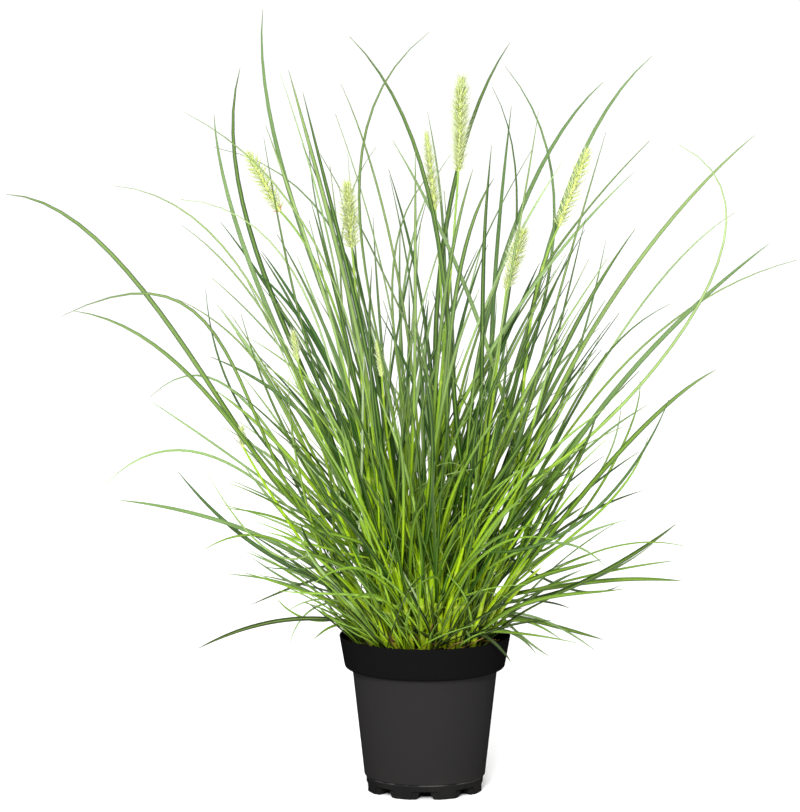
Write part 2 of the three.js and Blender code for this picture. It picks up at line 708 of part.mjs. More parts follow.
// A closed tube whose squares are cut along the diagonal between their unraised corners
function spiked(rings) {
  const columns = rings[0].length;
  const position = rings.flat().flatMap((p) => [p.x, p.y, p.z]);
  const index = [];
  for (let r = 0; r + 1 < rings.length; r++) {
    for (let i = 0; i < columns; i++) {
      const j = (i + 1) % columns;
      const [a, b, c, d] = [r * columns + i, r * columns + j, (r + 1) * columns + j, (r + 1) * columns + i];
      if ((r + i) % 2 === 0) index.push(a, b, d, b, c, d);
      else index.push(a, b, c, a, c, d);
    }
  }
  const top = (rings.length - 1) * columns;
  for (let i = 1; i + 1 < columns; i++) index.push(0, i + 1, i, top, top + i, top + i + 1);
  const geometry = new THREE.BufferGeometry();
  geometry.setAttribute("position", new THREE.Float32BufferAttribute(position, 3));
  geometry.setIndex(index);
  return geometry;
}

const planted = plantShoots();
growLeaders(planted);
growRest(planted);
const shoots = planted.filter((shoot) => shoot.blades.length > 0);

const plant = new THREE.Group();
plant.add(piece("pot", makePot(), COLOUR.pot, 0.45));
plant.add(piece("soil", makeSoil(shoots.map(footHole)), COLOUR.soil, 0.95));
shoots.forEach((shoot, k) => {
  const green = shoot.culm ? COLOUR.culm : COLOUR.leaf[k % COLOUR.leaf.length];
  plant.add(piece(shoot.name, shootSolid(shoot), green, 0.55));
  if (!shoot.culm) return;
  plant.add(piece(`head_${shoot.culm.name}`, headSolid(shoot.head, shoot.culm.wide), COLOUR.head, 0.8));
});

export default plant;
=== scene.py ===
# %% [markdown]
# # A potted little bunny fountain grass
# This grass is a tussock: some fifty shoots stand in one pot, and each carries several long keeled
# blades that arch outwards. Nine of the shoots are flower culms, which end in soft bottlebrush heads.
# The lesson builds it from the ground up: the view, the light, the pot, the compost, the shoots with
# their blades, the heads, and last the young leaves and the dry litter at the crown.
#
# Lengths are worked out in millimetres, with +Z up and the front facing -Y, and the helper that makes
# a piece turns them into Blender's metres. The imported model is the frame: each finer piece takes the
# place of one of its nodes and keeps to the same curves.

# %% Load the frame
import json

import bpy
import numpy as np
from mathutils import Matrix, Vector

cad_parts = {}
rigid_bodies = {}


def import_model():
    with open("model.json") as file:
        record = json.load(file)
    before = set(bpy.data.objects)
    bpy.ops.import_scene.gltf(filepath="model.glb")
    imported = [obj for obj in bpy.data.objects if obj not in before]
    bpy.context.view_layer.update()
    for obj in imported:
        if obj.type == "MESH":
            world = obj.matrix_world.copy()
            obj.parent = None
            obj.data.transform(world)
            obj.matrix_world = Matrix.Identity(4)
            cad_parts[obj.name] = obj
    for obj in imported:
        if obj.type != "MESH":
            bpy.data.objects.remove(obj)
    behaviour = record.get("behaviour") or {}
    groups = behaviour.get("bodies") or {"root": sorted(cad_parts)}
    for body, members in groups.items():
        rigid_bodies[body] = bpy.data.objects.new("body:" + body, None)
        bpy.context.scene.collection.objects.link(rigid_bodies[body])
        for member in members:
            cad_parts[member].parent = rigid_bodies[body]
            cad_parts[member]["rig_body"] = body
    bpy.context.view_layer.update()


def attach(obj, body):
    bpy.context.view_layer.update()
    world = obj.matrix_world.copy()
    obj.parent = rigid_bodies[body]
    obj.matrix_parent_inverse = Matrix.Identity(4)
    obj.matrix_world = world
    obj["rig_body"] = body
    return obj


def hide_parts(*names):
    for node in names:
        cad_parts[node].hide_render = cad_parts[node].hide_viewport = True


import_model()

# %% [markdown]
# ## The view
# The photograph was taken with a long lens from about five metres, a little above the pot's rim, and
# it looks slightly down. One pixel there is one millimetre at the pot's axis. A camera is set by where
# it stands, where it aims and its focal length: the lens sees `VIEW_WIDTH` at the distance of the pot.

# %% Camera
MM = 0.001
EYE = np.array([-25.0, -5000.0, 1077.0])
AIM = np.array([-25.0, 0.0, 389.7])
VIEW_WIDTH = 800.0
SENSOR = 36.0

lens = bpy.data.cameras.new("camera")
lens.sensor_fit = "HORIZONTAL"
lens.sensor_width = SENSOR
lens.lens = SENSOR * float(np.linalg.norm(AIM - EYE)) / VIEW_WIDTH
lens.clip_end = 100.0
camera = bpy.data.objects.new("camera", lens)
bpy.context.scene.collection.objects.link(camera)
camera.location = Vector(EYE * MM)
camera.rotation_euler = Vector(AIM - EYE).to_track_quat("-Z", "Y").to_euler()
bpy.context.scene.camera = camera
print("focal length in millimetres:", round(lens.lens, 1))

# %% [markdown]
# ## Shader maths as Python
# A material in Blender is a graph of nodes. Written out node by node it is long and hard to read, so
# a small class wraps a socket and lets it stand in a sum: `1 - mask * 2` adds the Math nodes. All other
# nodes come from one method, which takes the node's type, its settings and the values of its sockets.

# %% Wires and finishes
def srgb(red, green, blue):
    """A colour given as 0 to 255 as seen on a screen, turned into the linear light that shaders use."""
    shown = np.array([red, green, blue]) / 255
    linear = np.where(shown <= 0.04045, shown / 12.92, ((shown + 0.055) / 1.055) ** 2.4)
    return (*linear.tolist(), 1.0)


class Wire:
    """A number that varies over a surface. Arithmetic on it adds Math nodes."""

    def __init__(self, finish, socket):
        self.finish = finish
        self.socket = socket

    def _math(self, operation, *values):
        return self.finish.node("ShaderNodeMath", {"operation": operation}, dict(enumerate(values)))

    def __add__(self, other):
        return self._math("ADD", self, other)

    def __sub__(self, other):
        return self._math("SUBTRACT", self, other)

    def __rsub__(self, other):
        return self._math("SUBTRACT", other, self)

    def __mul__(self, other):
        return self._math("MULTIPLY", self, other)

    def __pow__(self, other):
        return self._math("POWER", self, other)

    __radd__ = __add__
    __rmul__ = __mul__

    def step(self, low, high):
        """0 below `low`, 1 above `high`, and a smooth climb between them."""
        values = {"Value": self, "From Min": low, "From Max": high}
        return self.finish.node("ShaderNodeMapRange", {"interpolation_type": "SMOOTHSTEP"}, values)


class Finish:
    """A material as it is put together: its node tree and the Principled shader at the end of it."""

    def __init__(self, name, **constants):
        self.material = bpy.data.materials.new(name)
        self.material.use_nodes = True
        self.tree = self.material.node_tree
        self.shader = self.tree.nodes["Principled BSDF"]
        for socket, value in constants.items():
            self.shader.inputs[socket.replace("_", " ").title().replace("Ior", "IOR")].default_value = value

    def node(self, kind, settings=None, values=None, output=0):
        """A node of a type, with its settings made first and then its sockets set or linked."""
        made = self.tree.nodes.new(kind)
        for name, value in (settings or {}).items():
            setattr(made, name, value)
        for place, value in (values or {}).items():
            if isinstance(value, Wire):
                self.tree.links.new(value.socket, made.inputs[place])
            else:
                made.inputs[place].default_value = value
        return Wire(self, made.outputs[output])

    def mix(self, factor, low, high):
        """The colour `low` where the factor is 0 and `high` where it is 1."""
        return self.node("ShaderNodeMix", {"data_type": "RGBA"}, {0: factor, 6: low, 7: high}, output=2)

    def noise(self, place, scale, detail=2.0, roughness=0.5):
        """A cloudy number from 0 to 1, at so many clouds to a unit of `place`."""
        values = {"Vector": place, "Scale": scale, "Detail": detail, "Roughness": roughness}
        return self.node("ShaderNodeTexNoise", values=values)

    def place(self, stretch=(1, 1, 1)):
        """The point of the surface in metres, stretched along each axis."""
        point = self.node("ShaderNodeTexCoord", output=3)
        return self.node("ShaderNodeMapping", values={"Vector": point, "Scale": stretch})

    def split(self, vector, count=3):
        """The first numbers that a vector is made of."""
        return [self.node("ShaderNodeSeparateXYZ", values={0: vector}, output=k) for k in range(count)]

    def marks(self):
        """The three numbers of the attribute that the tubes of a piece carry."""
        return self.split(self.node("ShaderNodeAttribute", {"attribute_name": "marks"}, output=1))

    def map_parts(self):
        """The two numbers of the UV map: the share across a tube and the length along it."""
        return self.split(self.node("ShaderNodeUVMap", {"uv_map": "along"}), 2)

    def give(self, socket, value):
        """Feeds one of the shader's sockets."""
        self.tree.links.new(value.socket, self.shader.inputs[socket])

    def bump(self, height, distance, strength=1.0):
        """Raises the surface, to the eye only, by a height from 0 to 1 times a distance in metres."""
        values = {"Height": height, "Distance": distance, "Strength": strength}
        self.give("Normal", self.node("ShaderNodeBump", values=values))


print("a green as linear light:", [round(x, 3) for x in srgb(110, 160, 40)[:3]])

# %% [markdown]
# ## Studio light
# The grass was lit softly against white, with more light from the front and above, so the pot is
# palest down its middle and dark at both sides. A world that is bright overhead and nearly dark at
# the horizon gives the even part and whitens the floor, and keeps the pot's sides from shining. One
# light in front and above gives the shape, and two weak side lights open up the crown.

# %% Floor, world and lights
FLOOR_HALF = 30.0
# The world's strength low and high in the sky, and the heights on a unit sphere between which it climbs
SIDE_STRENGTH = 0.05
SKY_STRENGTH = 1.58
CLIMB_FROM = 0.2
CLIMB_TO = 0.85

floor_finish = Finish("pale_paper", roughness=0.9)
floor_tone = floor_finish.noise(floor_finish.place(), 1.5)
floor_finish.give("Base Color", floor_finish.mix(floor_tone, (0.95, 0.95, 0.95, 1), (0.97, 0.97, 0.97, 1)))
floor_corners = [(x * FLOOR_HALF, y * FLOOR_HALF, 0) for x, y in ((-1, -1), (1, -1), (1, 1), (-1, 1))]
floor_mesh = bpy.data.meshes.new("floor")
floor_mesh.from_pydata(floor_corners, [], [(0, 1, 2, 3)])
floor_mesh.materials.append(floor_finish.material)
floor = bpy.data.objects.new("floor", floor_mesh)
bpy.context.scene.collection.objects.link(floor)

bpy.context.scene.view_settings.view_transform = "Standard"
world = bpy.data.worlds.new("studio")
bpy.context.scene.world = world
world.use_nodes = True
sky = world.node_tree
direction = sky.nodes.new("ShaderNodeTexCoord").outputs["Generated"]
split = sky.nodes.new("ShaderNodeSeparateXYZ")
climb = sky.nodes.new("ShaderNodeMapRange")
climb.interpolation_type = "SMOOTHSTEP"
sky_ends = {"From Min": CLIMB_FROM, "From Max": CLIMB_TO, "To Min": SIDE_STRENGTH, "To Max": SKY_STRENGTH}
for limit, strength in sky_ends.items():
    climb.inputs[limit].default_value = strength
sky.links.new(direction, split.inputs[0])
sky.links.new(split.outputs["Z"], climb.inputs["Value"])
sky.links.new(climb.outputs[0], sky.nodes["Background"].inputs["Strength"])
sky.nodes["Background"].inputs["Color"].default_value = (1.0, 1.0, 1.0, 1)


def area_light(name, place, aim, size, power):
    """A square light of `size` metres at `place` that faces `aim`."""
    lamp = bpy.data.lights.new(name, "AREA")
    lamp.size = size
    lamp.energy = power
    light = bpy.data.objects.new(name, lamp)
    light.location = Vector(place)
    light.rotation_euler = (Vector(aim) - Vector(place)).to_track_quat("-Z", "Y").to_euler()
    bpy.context.scene.collection.objects.link(light)
    return light


crown = (0, 0, 0.35)
lights = [
    area_light("front_light", (-0.4, -3.0, 1.7), crown, 0.9, 180),
    area_light("left_light", (-2.4, 0.8, 1.6), crown, 1.2, 10),
    area_light("right_light", (2.4, 0.6, 1.8), crown, 1.2, 10),
]
print("lights:", [light.name for light in lights])
# %% [markdown]
# ## Curves
# Every stem and blade follows one smooth curve through three or four points. Lagrange's polynomial
# is handy here: it passes through its points at equal steps of t, so a blade is set by its root, one
# or two places on the way and its tip. All of the curve comes from one product, weights times points.

# %% Curves through a few points
def weights(count, t):
    """Lagrange's weights of `count` points at each t: for point i the product over the others j of
    (last * t - j) / (i - j)."""
    order = np.arange(count)
    apart = order[:, None] - order[None, :]
    own = apart == 0
    ratio = ((count - 1) * t[:, None, None] - order[None, None, :]) / np.where(own, 1, apart)
    return np.where(own, 1.0, ratio).prod(axis=2)


def along(points, t):
    """The curve's places at each t from 0 to 1."""
    return weights(len(points), np.atleast_1d(np.asarray(t, float))) @ points


def unit(vectors):
    """Vectors scaled to length 1."""
    return vectors / np.linalg.norm(vectors, axis=-1, keepdims=True)


def heading(points, t):
    """The curve's unit direction at each t, from two places a hundredth before and after."""
    t = np.atleast_1d(np.asarray(t, float))
    return unit(along(points, np.minimum(1, t + 0.01)) - along(points, np.maximum(0, t - 0.01)))


def length_of(points):
    """The length of the straight stretches between a curve's points."""
    return np.linalg.norm(np.diff(points, axis=0), axis=1).sum()


def leaning(angle, azimuth):
    """The unit direction that leans from upright by an angle in degrees, towards an azimuth in radians."""
    out = np.sin(np.radians(angle))
    return np.array([out * np.cos(azimuth), out * np.sin(azimuth), np.cos(np.radians(angle))])


def seen(x, height, depth):
    """The point seen at x and a height over the plan's level in the plane of the pot's axis, moved along
    the sight line to its depth."""
    return EYE + (np.array([x, 0.0, PLAN_LEVEL + height]) - EYE) * (1 - depth / EYE[1])


print("half way along a bend:", along(np.array([[0, 0, 0], [10, 0, 40], [60, 0, 50.0]]), 0.5))

# %% [markdown]
# ## The plan of the plant
# The frame's shoots were planted by a rule with seeded draws, and the same rule runs again here, so
# that each fine blade lies on the curve of its coarse one. A shoot stands on each seat of a spiral.
# Its blades are tried one by one in a grid of small cells, and a blade is kept if the cells on its way
# are free. The culms and the leading blades, which stand clear of the rest and make the outline, are
# listed as points seen from the front.

# %% Sizes of the crown
# The plan's level over the floor, from which heights are read, and the pot and compost that it needs
PLAN_LEVEL = 7.0
POT_HEIGHT = 158.0
RIM_RADIUS = 86.0
SOIL_HEIGHT = 146.0
SOIL_LUMP = 2.2
ROOTING_DEPTH = 16.0
# The seats, and stems that lean out more towards the crown's edge, in degrees
CROWN_RADIUS = 57.0
SEATS = 49
SEAT_ABOVE_SOIL = 3.0
GOLDEN_ANGLE = np.pi * (3 - np.sqrt(5))
LEAN_INSIDE = 4.0
LEAN_OUTSIDE = 29.0
STEM_LENGTHS = (70.0, 160.0)
SHORTER_OUTSIDE = 25.0
TILLER_RADII = (2.6, 1.6)
CULM_RADII = (2.6, 0.9)
TILLER_STRETCHES = 2
CULM_STRETCHES = 5
# How many leading blades a shoot may carry, how many shoots are tried, and how deep they spread
LEADERS_A_SHOOT = 3
NEAREST_SHOOTS = 5
LEADER_DEPTH = 60.0
LEADER_DEPTH_BY_HEIGHT = 0.35
LEADER_RISE = 300.0
# The other blades: how they part, bend and droop, how long and wide they are, and how far they reach
BLADES_A_SHOOT = 8
PARTING = (0.1, 0.4)
BENDING = (-0.6, 0.6)
LOW_OUTWARD = 0.75
DROOP = (4.0, 26.0)
LOW_DROOP = 60.0
MOST_DROOP = 115.0
SHORTEST = 90.0
LENGTHENING = 330.0
LENGTH_SPREAD = (0.65, 1.1)
WIDTHS = (2.6, 4.4)
TWISTS = (-100.0, 100.0)
REACH_ASIDE = 225.0
REACH_DEEP = 300.0
REACH_UP = 687.0
# The grid of cells that keeps shoots apart, and how often a blade is tried
CELL = 2.3
CLEAR_CELLS = 2
SPACE_CORNER = np.array([-450.0, -450.0, PLAN_LEVEL])
SPACE_CELLS = np.array([392, 392, 352])
SAMPLE_STEP = 2.0
TRIES = 26
TRIES_FOR_FIRST = 312
JOINED_SHARE = 0.2
SHARED = -1
RIM_CLEARANCE = 4.0
SEED = 5

# %% Culms and leading blades, as seen from the front
# A culm is its head's width, its depths at foot and top, four points of its stem and its head's tip.
# A leading blade is a width and two or three points, the last of them its tip.
CULMS = {
    "a": (19, (-20, -35), ((-30, 139), (-50, 290), (-81, 452), (-144, 578)), (-178, 640)),
    "b": (22, (-32, -60), ((-40, 139), (-54, 275), (-63, 410), (-73, 542)), (-78, 611)),
    "c": (15, (20, 40), ((10, 139), (17, 290), (18, 440), (10, 580)), (1, 659)),
    "d": (21, (-45, -50), ((3, 139), (7, 300), (20, 455), (33, 618)), (36, 714)),
    "e": (16, (-25, -10), ((46, 139), (88, 282), (101, 430), (133, 563)), (163, 644)),
    "f": (18, (-38, -80), ((30, 139), (50, 262), (68, 390), (81, 500)), (99, 564)),
    "g": (8, (-15, -30), ((-50, 139), (-98, 206), (-144, 277), (-182, 341)), (-184, 363)),
    "h": (8, (5, -50), ((-36, 139), (-68, 238), (-101, 334), (-127, 428)), (-132, 460)),
    "i": (8, (-5, -70), ((-12, 139), (-22, 232), (-34, 324), (-43, 412)), (-48, 450)),
}
LEADERS = [
    (5, (-172, 336), (-280, 500), (-417, 594)),
    (2.6, (-105, 352), (-176, 508), (-310, 604)),
    (2.6, (-78, 348), (-122, 500), (-243, 590)),
    (2.6, (-98, 325), (-150, 460), (-243, 564)),
    (5, (-98, 350), (-167, 507), (-210, 675)),
    (5, (-100, 365), (-168, 540), (-184, 721)),
    (5, (-65, 390), (-130, 582), (-161, 779)),
    (2.6, (-55, 372), (-110, 548), (-239, 676)),
    (2.6, (-42, 362), (-78, 532), (-209, 642)),
    (3, (-112, 425), (-160, 652)),
    (2.6, (-80, 455), (-144, 717)),
    (5, (-52, 368), (-88, 545), (-136, 719)),
    (4.6, (-45, 355), (-77, 522), (-122, 697)),
    (2.6, (-48, 345), (-90, 505), (-115, 654)),
    (5, (30, 384), (8, 576), (-75, 752)),
    (3.4, (-35, 392), (-66, 592), (4, 756)),
    (3.2, (-8, 364), (-32, 540), (-84, 705)),
    (2.8, (-28, 440), (-89, 675)),
    (2.6, (-58, 345), (-84, 505), (-49, 642)),
    (2.6, (-60, 410), (-77, 635)),
    (2.8, (-3, 400), (-35, 614)),
    (3, (-14, 340), (-33, 490), (10, 620)),
    (3, (-22, 345), (-22, 500), (26, 635)),
    (4.6, (24, 340), (29, 488), (69, 611)),
    (5, (12, 380), (22, 570), (84, 746)),
    (3.6, (85, 368), (128, 550), (79, 722)),
    (2.8, (58, 350), (85, 510), (112, 678)),
    (4.6, (66, 435), (85, 683)),
    (2.8, (62, 360), (88, 535), (67, 702)),
    (4.8, (45, 372), (86, 555), (177, 707)),
    (5, (85, 378), (130, 568), (225, 732)),
    (3.2, (115, 425), (179, 657)),
    (3, (112, 375), (160, 572)),
    (3, (128, 365), (180, 549)),
    (3.6, (165, 352), (283, 506), (252, 645)),
    (4.8, (118, 362), (206, 520), (328, 654)),
    (3, (122, 330), (206, 470), (309, 578)),
    (5, (135, 322), (228, 440), (342, 547)),
    (3, (128, 335), (232, 455), (370, 530)),
    (3, (108, 297), (160, 405), (244, 485)),
    (5, (136, 265), (211, 355), (292, 419)),
    (4, (128, 248), (198, 308), (244, 389)),
    (3, (122, 230), (184, 284), (223, 352)),
    (3.2, (130, 243), (187, 322), (215, 410)),
    (3, (114, 246), (170, 308), (197, 389)),
    (4.8, (165, 207), (252, 264)),
    (3, (125, 214), (189, 240), (259, 241)),
    (3, (150, 200), (229, 243)),
    (3, (158, 209), (252, 226)),
    (4.8, (160, 203), (259, 206)),
    (4.6, (105, 166), (179, 145)),
    (3, (105, 170), (171, 134)),
    (3, (80, 166), (125, 128)),
    (3, (98, 186), (145, 177)),
    (3, (125, 205), (196, 201)),
    (3, (118, 243), (181, 219)),
    (3.6, (-133, 277), (-222, 334), (-320, 304)),
    (4.8, (-152, 230), (-248, 316)),
    (2.6, (-150, 232), (-218, 314)),
    (4.6, (-167, 252), (-308, 287)),
    (3.4, (-98, 260), (-192, 306)),
    (3.4, (-106, 220), (-161, 250), (-224, 236)),
    (3, (-118, 209), (-181, 235)),
    (3, (-105, 240), (-161, 256)),
    (3, (-128, 199), (-200, 213)),
    (3, (-115, 192), (-185, 215)),
    (3.4, (-105, 208), (-176, 181)),
    (3, (-82, 170), (-122, 168), (-150, 189)),
    (3, (-100, 182), (-136, 142)),
    (4.6, (-135, 166), (-229, 136)),
    (3, (-92, 186), (-137, 175)),
    (3, (-108, 198), (-161, 210)),
    (3, (-100, 220), (-161, 220)),
    (3, (-115, 194), (-174, 229)),
    (4, (-150, 328), (-220, 467), (-364, 473)),
    (4.8, (-148, 305), (-233, 412), (-351, 478)),
    (3.4, (-118, 296), (-186, 393), (-275, 392)),
    (3, (-158, 305), (-275, 389)),
    (3, (-102, 303), (-158, 412), (-248, 491)),
    (3, (-108, 290), (-166, 387), (-253, 456)),
    (3, (-118, 295), (-188, 388), (-219, 500)),
    (3, (-125, 330), (-184, 475)),
    (3, (105, 320), (175, 455)),
]
print(len(CULMS), "culms and", len(LEADERS), "leading blades")


# %% The same draws again
class Draws:
    """Seeded numbers from 0 to 1: each state is the last one times 1664525 plus 1013904223, modulo 2^32."""

    def __init__(self, seed):
        self.state = seed

    def one(self):
        self.state = (self.state * 1664525 + 1013904223) % 4294967296
        return self.state / 4294967296

    def between(self, limits):
        return limits[0] + (limits[1] - limits[0]) * self.one()


def soil_top(x, y):
    """The compost's height: one broad crossed wave and a finer one of half its height."""
    broad = np.sin(x * 0.11 + 1) * np.cos(y * 0.13)
    return SOIL_HEIGHT + SOIL_LUMP * (broad + 0.5 * np.sin(x * 0.23 - y * 0.19))


# %% Room for each shoot
owners = np.zeros(SPACE_CELLS, np.int8)


def samples(points):
    """The curve's places about two millimetres apart."""
    steps = int(np.ceil(length_of(points) / SAMPLE_STEP))
    return along(points, np.arange(steps + 1) / steps)


def cells(places):
    """The whole numbers of the cells that hold these places."""
    return np.floor((places - SPACE_CORNER) / CELL).astype(int)


def is_clear(places, owner):
    """Whether a curve keeps off other shoots, its own shoot's far blades, the compost and the rim."""
    radius = np.hypot(places[:, 0], places[:, 1])
    over_rim = np.where(radius > RIM_RADIUS - 3 * RIM_CLEARANCE, RIM_CLEARANCE, -RIM_CLEARANCE)
    if np.any((radius < RIM_RADIUS + RIM_CLEARANCE) & (places[:, 2] < POT_HEIGHT + over_rim)):
        return False
    found = owners[tuple(cells(places).T)]
    joined = np.arange(len(places)) < JOINED_SHARE * len(places)
    return bool(np.all((found == 0) | ((found == owner) & joined)))


CLEAR_STEPS = np.arange(-CLEAR_CELLS, CLEAR_CELLS + 1)
AROUND = np.stack(np.meshgrid(*[CLEAR_STEPS] * 3, indexing="ij"), -1).reshape(-1, 3)


def take(places, owner):
    """Marks the cells round each place as this shoot's, or as shared where another has them."""
    near = (cells(places)[:, None, :] + AROUND).reshape(-1, 3)
    held = owners[tuple(near.T)]
    owners[tuple(near.T)] = np.where((held == 0) | (held == owner), owner, SHARED)


# %% Plant the shoots
def seat(k):
    """Seat k of a sunflower's spiral: the radius grows with the root of k, and each seat turns on by
    the golden angle."""
    radius = CROWN_RADIUS * np.sqrt((k + 0.5) / SEATS)
    x, y = radius * np.cos(k * GOLDEN_ANGLE), radius * np.sin(k * GOLDEN_ANGLE)
    return np.array([x, y, soil_top(x, y) + SEAT_ABOVE_SOIL])


def plant_shoots(draws):
    """The culms on the seats nearest to their feet, then a leafy tiller on every other seat."""
    free = [seat(k) for k in range(SEATS)]
    made = []
    for name, (wide, (near, far), by, tip) in CULMS.items():
        points = np.array([seen(x, z, near + (far - near) * i / 3) for i, (x, z) in enumerate(by)])
        free.sort(key=lambda place: np.linalg.norm(place - points[0]))
        points[0] = free.pop(0)
        head = np.array([points[3], seen(*tip, far)])
        culm = {"name": f"culm_{name}", "points": points, "radii": CULM_RADII}
        made.append({**culm, "head": head, "wide": wide})
    free.sort(key=lambda place: np.hypot(place[0], place[1]))
    for i, foot in enumerate(free):
        share = np.hypot(foot[0], foot[1]) / CROWN_RADIUS
        azimuth = np.arctan2(foot[1], foot[0])
        lean = LEAN_INSIDE + (LEAN_OUTSIDE - LEAN_INSIDE) * share
        tall = draws.between(STEM_LENGTHS) - SHORTER_OUTSIDE * share
        middle = foot + leaning(lean * 0.7, azimuth) * tall / 2
        top = middle + leaning(lean * 1.15, azimuth) * tall / 2
        points = np.array([foot, middle, top])
        made.append({"name": f"tiller_{i + 1:02d}", "points": points, "radii": TILLER_RADII})
    for k, shoot in enumerate(made):
        shoot["blades"] = []
        take(samples(shoot["points"]), k + 1)
        if "head" in shoot:
            girth = max(0, shoot["wide"] / 2 - CELL)
            for n in range(6):
                take(samples(shoot["head"]) + leaning(90, n * np.pi / 3) * girth, SEATS + 1 + k)
    return made


def on_stem(shoot, share):
    """The point at a share of a stem's height, on the straight stretches of its coarse solid."""
    steps = CULM_STRETCHES if "head" in shoot else TILLER_STRETCHES
    i = min(steps - 1, int(share * steps))
    low, high = along(shoot["points"], [i / steps, (i + 1) / steps])
    return low + (high - low) * (share * steps - i)


def parting_height(shoot, share):
    """Where a blade parts: a tiller's first runs on from its top, and the others leave lower down."""
    if "head" in shoot:
        return 0.1 + 0.35 * share
    return 0.1 + 0.8 * share if shoot["blades"] else 1.0


def grow(shoots, k, points, wide, twist, start):
    """Gives shoot k a blade if its way is clear."""
    places = samples(points)
    if not is_clear(places, k + 1):
        return False
    take(places, k + 1)
    shoots[k]["blades"].append({"points": points, "wide": wide, "twist": twist, "start": start})
    return True


# %% Grow the leading blades
def grow_leader(shoots, draws, wide, by):
    """One leading blade, from the nearest shoot that leaves its way clear. It keeps its tip as seen."""
    (x, z), high = by[0], by[-1][1]
    twist = draws.between(TWISTS)
    for _ in range(TRIES):
        depth = (draws.one() - 0.5) * (LEADER_DEPTH + LEADER_DEPTH_BY_HEIGHT * high)
        aside, deep = (CROWN_RADIUS * value / (abs(value) + CROWN_RADIUS) for value in (x, depth))
        target = np.array([aside, deep, SOIL_HEIGHT])
        share = min(1, (PLAN_LEVEL + z - SOIL_HEIGHT) / LEADER_RISE + 0.2 * draws.one())
        order = [k for k, shoot in enumerate(shoots) if len(shoot["blades"]) < LEADERS_A_SHOOT]
        order.sort(key=lambda k: np.linalg.norm(shoots[k]["points"][0] - target))
        for k in order[:NEAREST_SHOOTS]:
            start = parting_height(shoots[k], share)
            root = on_stem(shoots[k], start)
            deeper = (depth - root[1]) / len(by)
            steps = [seen(px, pz, root[1] + deeper * (i + 1)) for i, (px, pz) in enumerate(by)]
            if grow(shoots, k, np.array([root, *steps]), wide, twist, start):
                shoots[k]["blades"][-1]["tip"] = by[-1]
                return


draws = Draws(SEED)
shoots = plant_shoots(draws)
for wide, *by in LEADERS:
    grow_leader(shoots, draws, wide, by)
print("leading blades grown:", sum(len(shoot["blades"]) for shoot in shoots))


# %% Grow the other blades
def arch(root, parting, last, long):
    """A blade's three points: it sets out along `parting` and its tip falls along `last`."""
    turn = root + parting * long * 0.55
    tip = turn + last * long * 0.5
    return np.array([root, ((root + tip) / 2 + turn) / 2, tip])


def grow_blade(shoots, k, j, draws):
    """Blade j of shoot k: the lowest arch out and down, the highest are the longest and most upright."""
    shoot = shoots[k]
    foot = shoot["points"][0]
    outside = np.hypot(foot[0], foot[1]) / CROWN_RADIUS
    outward = leaning(90, np.arctan2(foot[1], foot[0]))
    tries = TRIES if shoot["blades"] else TRIES_FOR_FIRST
    for attempt in range(tries):
        rise = (j + draws.one()) / BLADES_A_SHOOT
        start = parting_height(shoot, rise)
        aside = leaning(90, 2 * np.pi * draws.one())
        parting = heading(shoot["points"], start)[0] + aside * draws.between(PARTING)
        parting = unit(parting + outward * (1 - rise) * LOW_OUTWARD * outside)
        droop = draws.between(DROOP)
        droop += (1 - rise) * LOW_DROOP * draws.one()
        last = min(MOST_DROOP, np.degrees(np.arccos(parting[2])) + droop)
        shrink = 1 - 0.5 * attempt / tries
        long = SHORTEST + LENGTHENING * rise**0.6 * draws.between(LENGTH_SPREAD) * shrink
        bend = np.arctan2(parting[1], parting[0]) + draws.between(BENDING)
        points = arch(on_stem(shoot, start), parting, leaning(last, bend), long)
        wide = draws.between(WIDTHS)
        twist = draws.between(TWISTS)
        x, y, z = points[2]
        inside = np.hypot(x / REACH_ASIDE, y / REACH_DEEP) < 1 and z < REACH_UP
        if inside and grow(shoots, k, points, wide, twist, start):
            return


for j in range(BLADES_A_SHOOT):
    for k, shoot in enumerate(shoots):
        if len(shoot["blades"]) <= j:
            grow_blade(shoots, k, j, draws)
shoots = [shoot for shoot in shoots if shoot["blades"]]
print("shoots:", len(shoots), "blades:", sum(len(shoot["blades"]) for shoot in shoots))

# %% [markdown]
# ## How a piece is made
# Stems, blades, spikelets and bristles are all the same thing to a modeller: rings of points carried
# along a path. If a batch has the same number of rings and points, its places are one array with four
# axes, batch, ring, point and xyz, and its faces are one pattern repeated. A tally keeps the batches
# of a piece with their materials, and hands them to Blender as whole arrays at the end.

# %% Rings into meshes
def tube_faces(rings, around):
    """The faces of a tube: quads between neighbouring rings, then the two ends as fans of triangles."""
    row, column = np.meshgrid(np.arange(rings - 1), np.arange(around), indexing="ij")
    low = (row * around + column).ravel()
    after = (row * around + (column + 1) % around).ravel()
    quads = np.stack([low, after, after + around, low + around], -1)
    fan = np.arange(1, around - 1)
    first = np.stack([0 * fan, fan + 1, fan], -1)
    top = (rings - 1) * around
    last = np.stack([top + 0 * fan, top + fan, top + fan + 1], -1)
    return quads, np.concatenate([first, last])


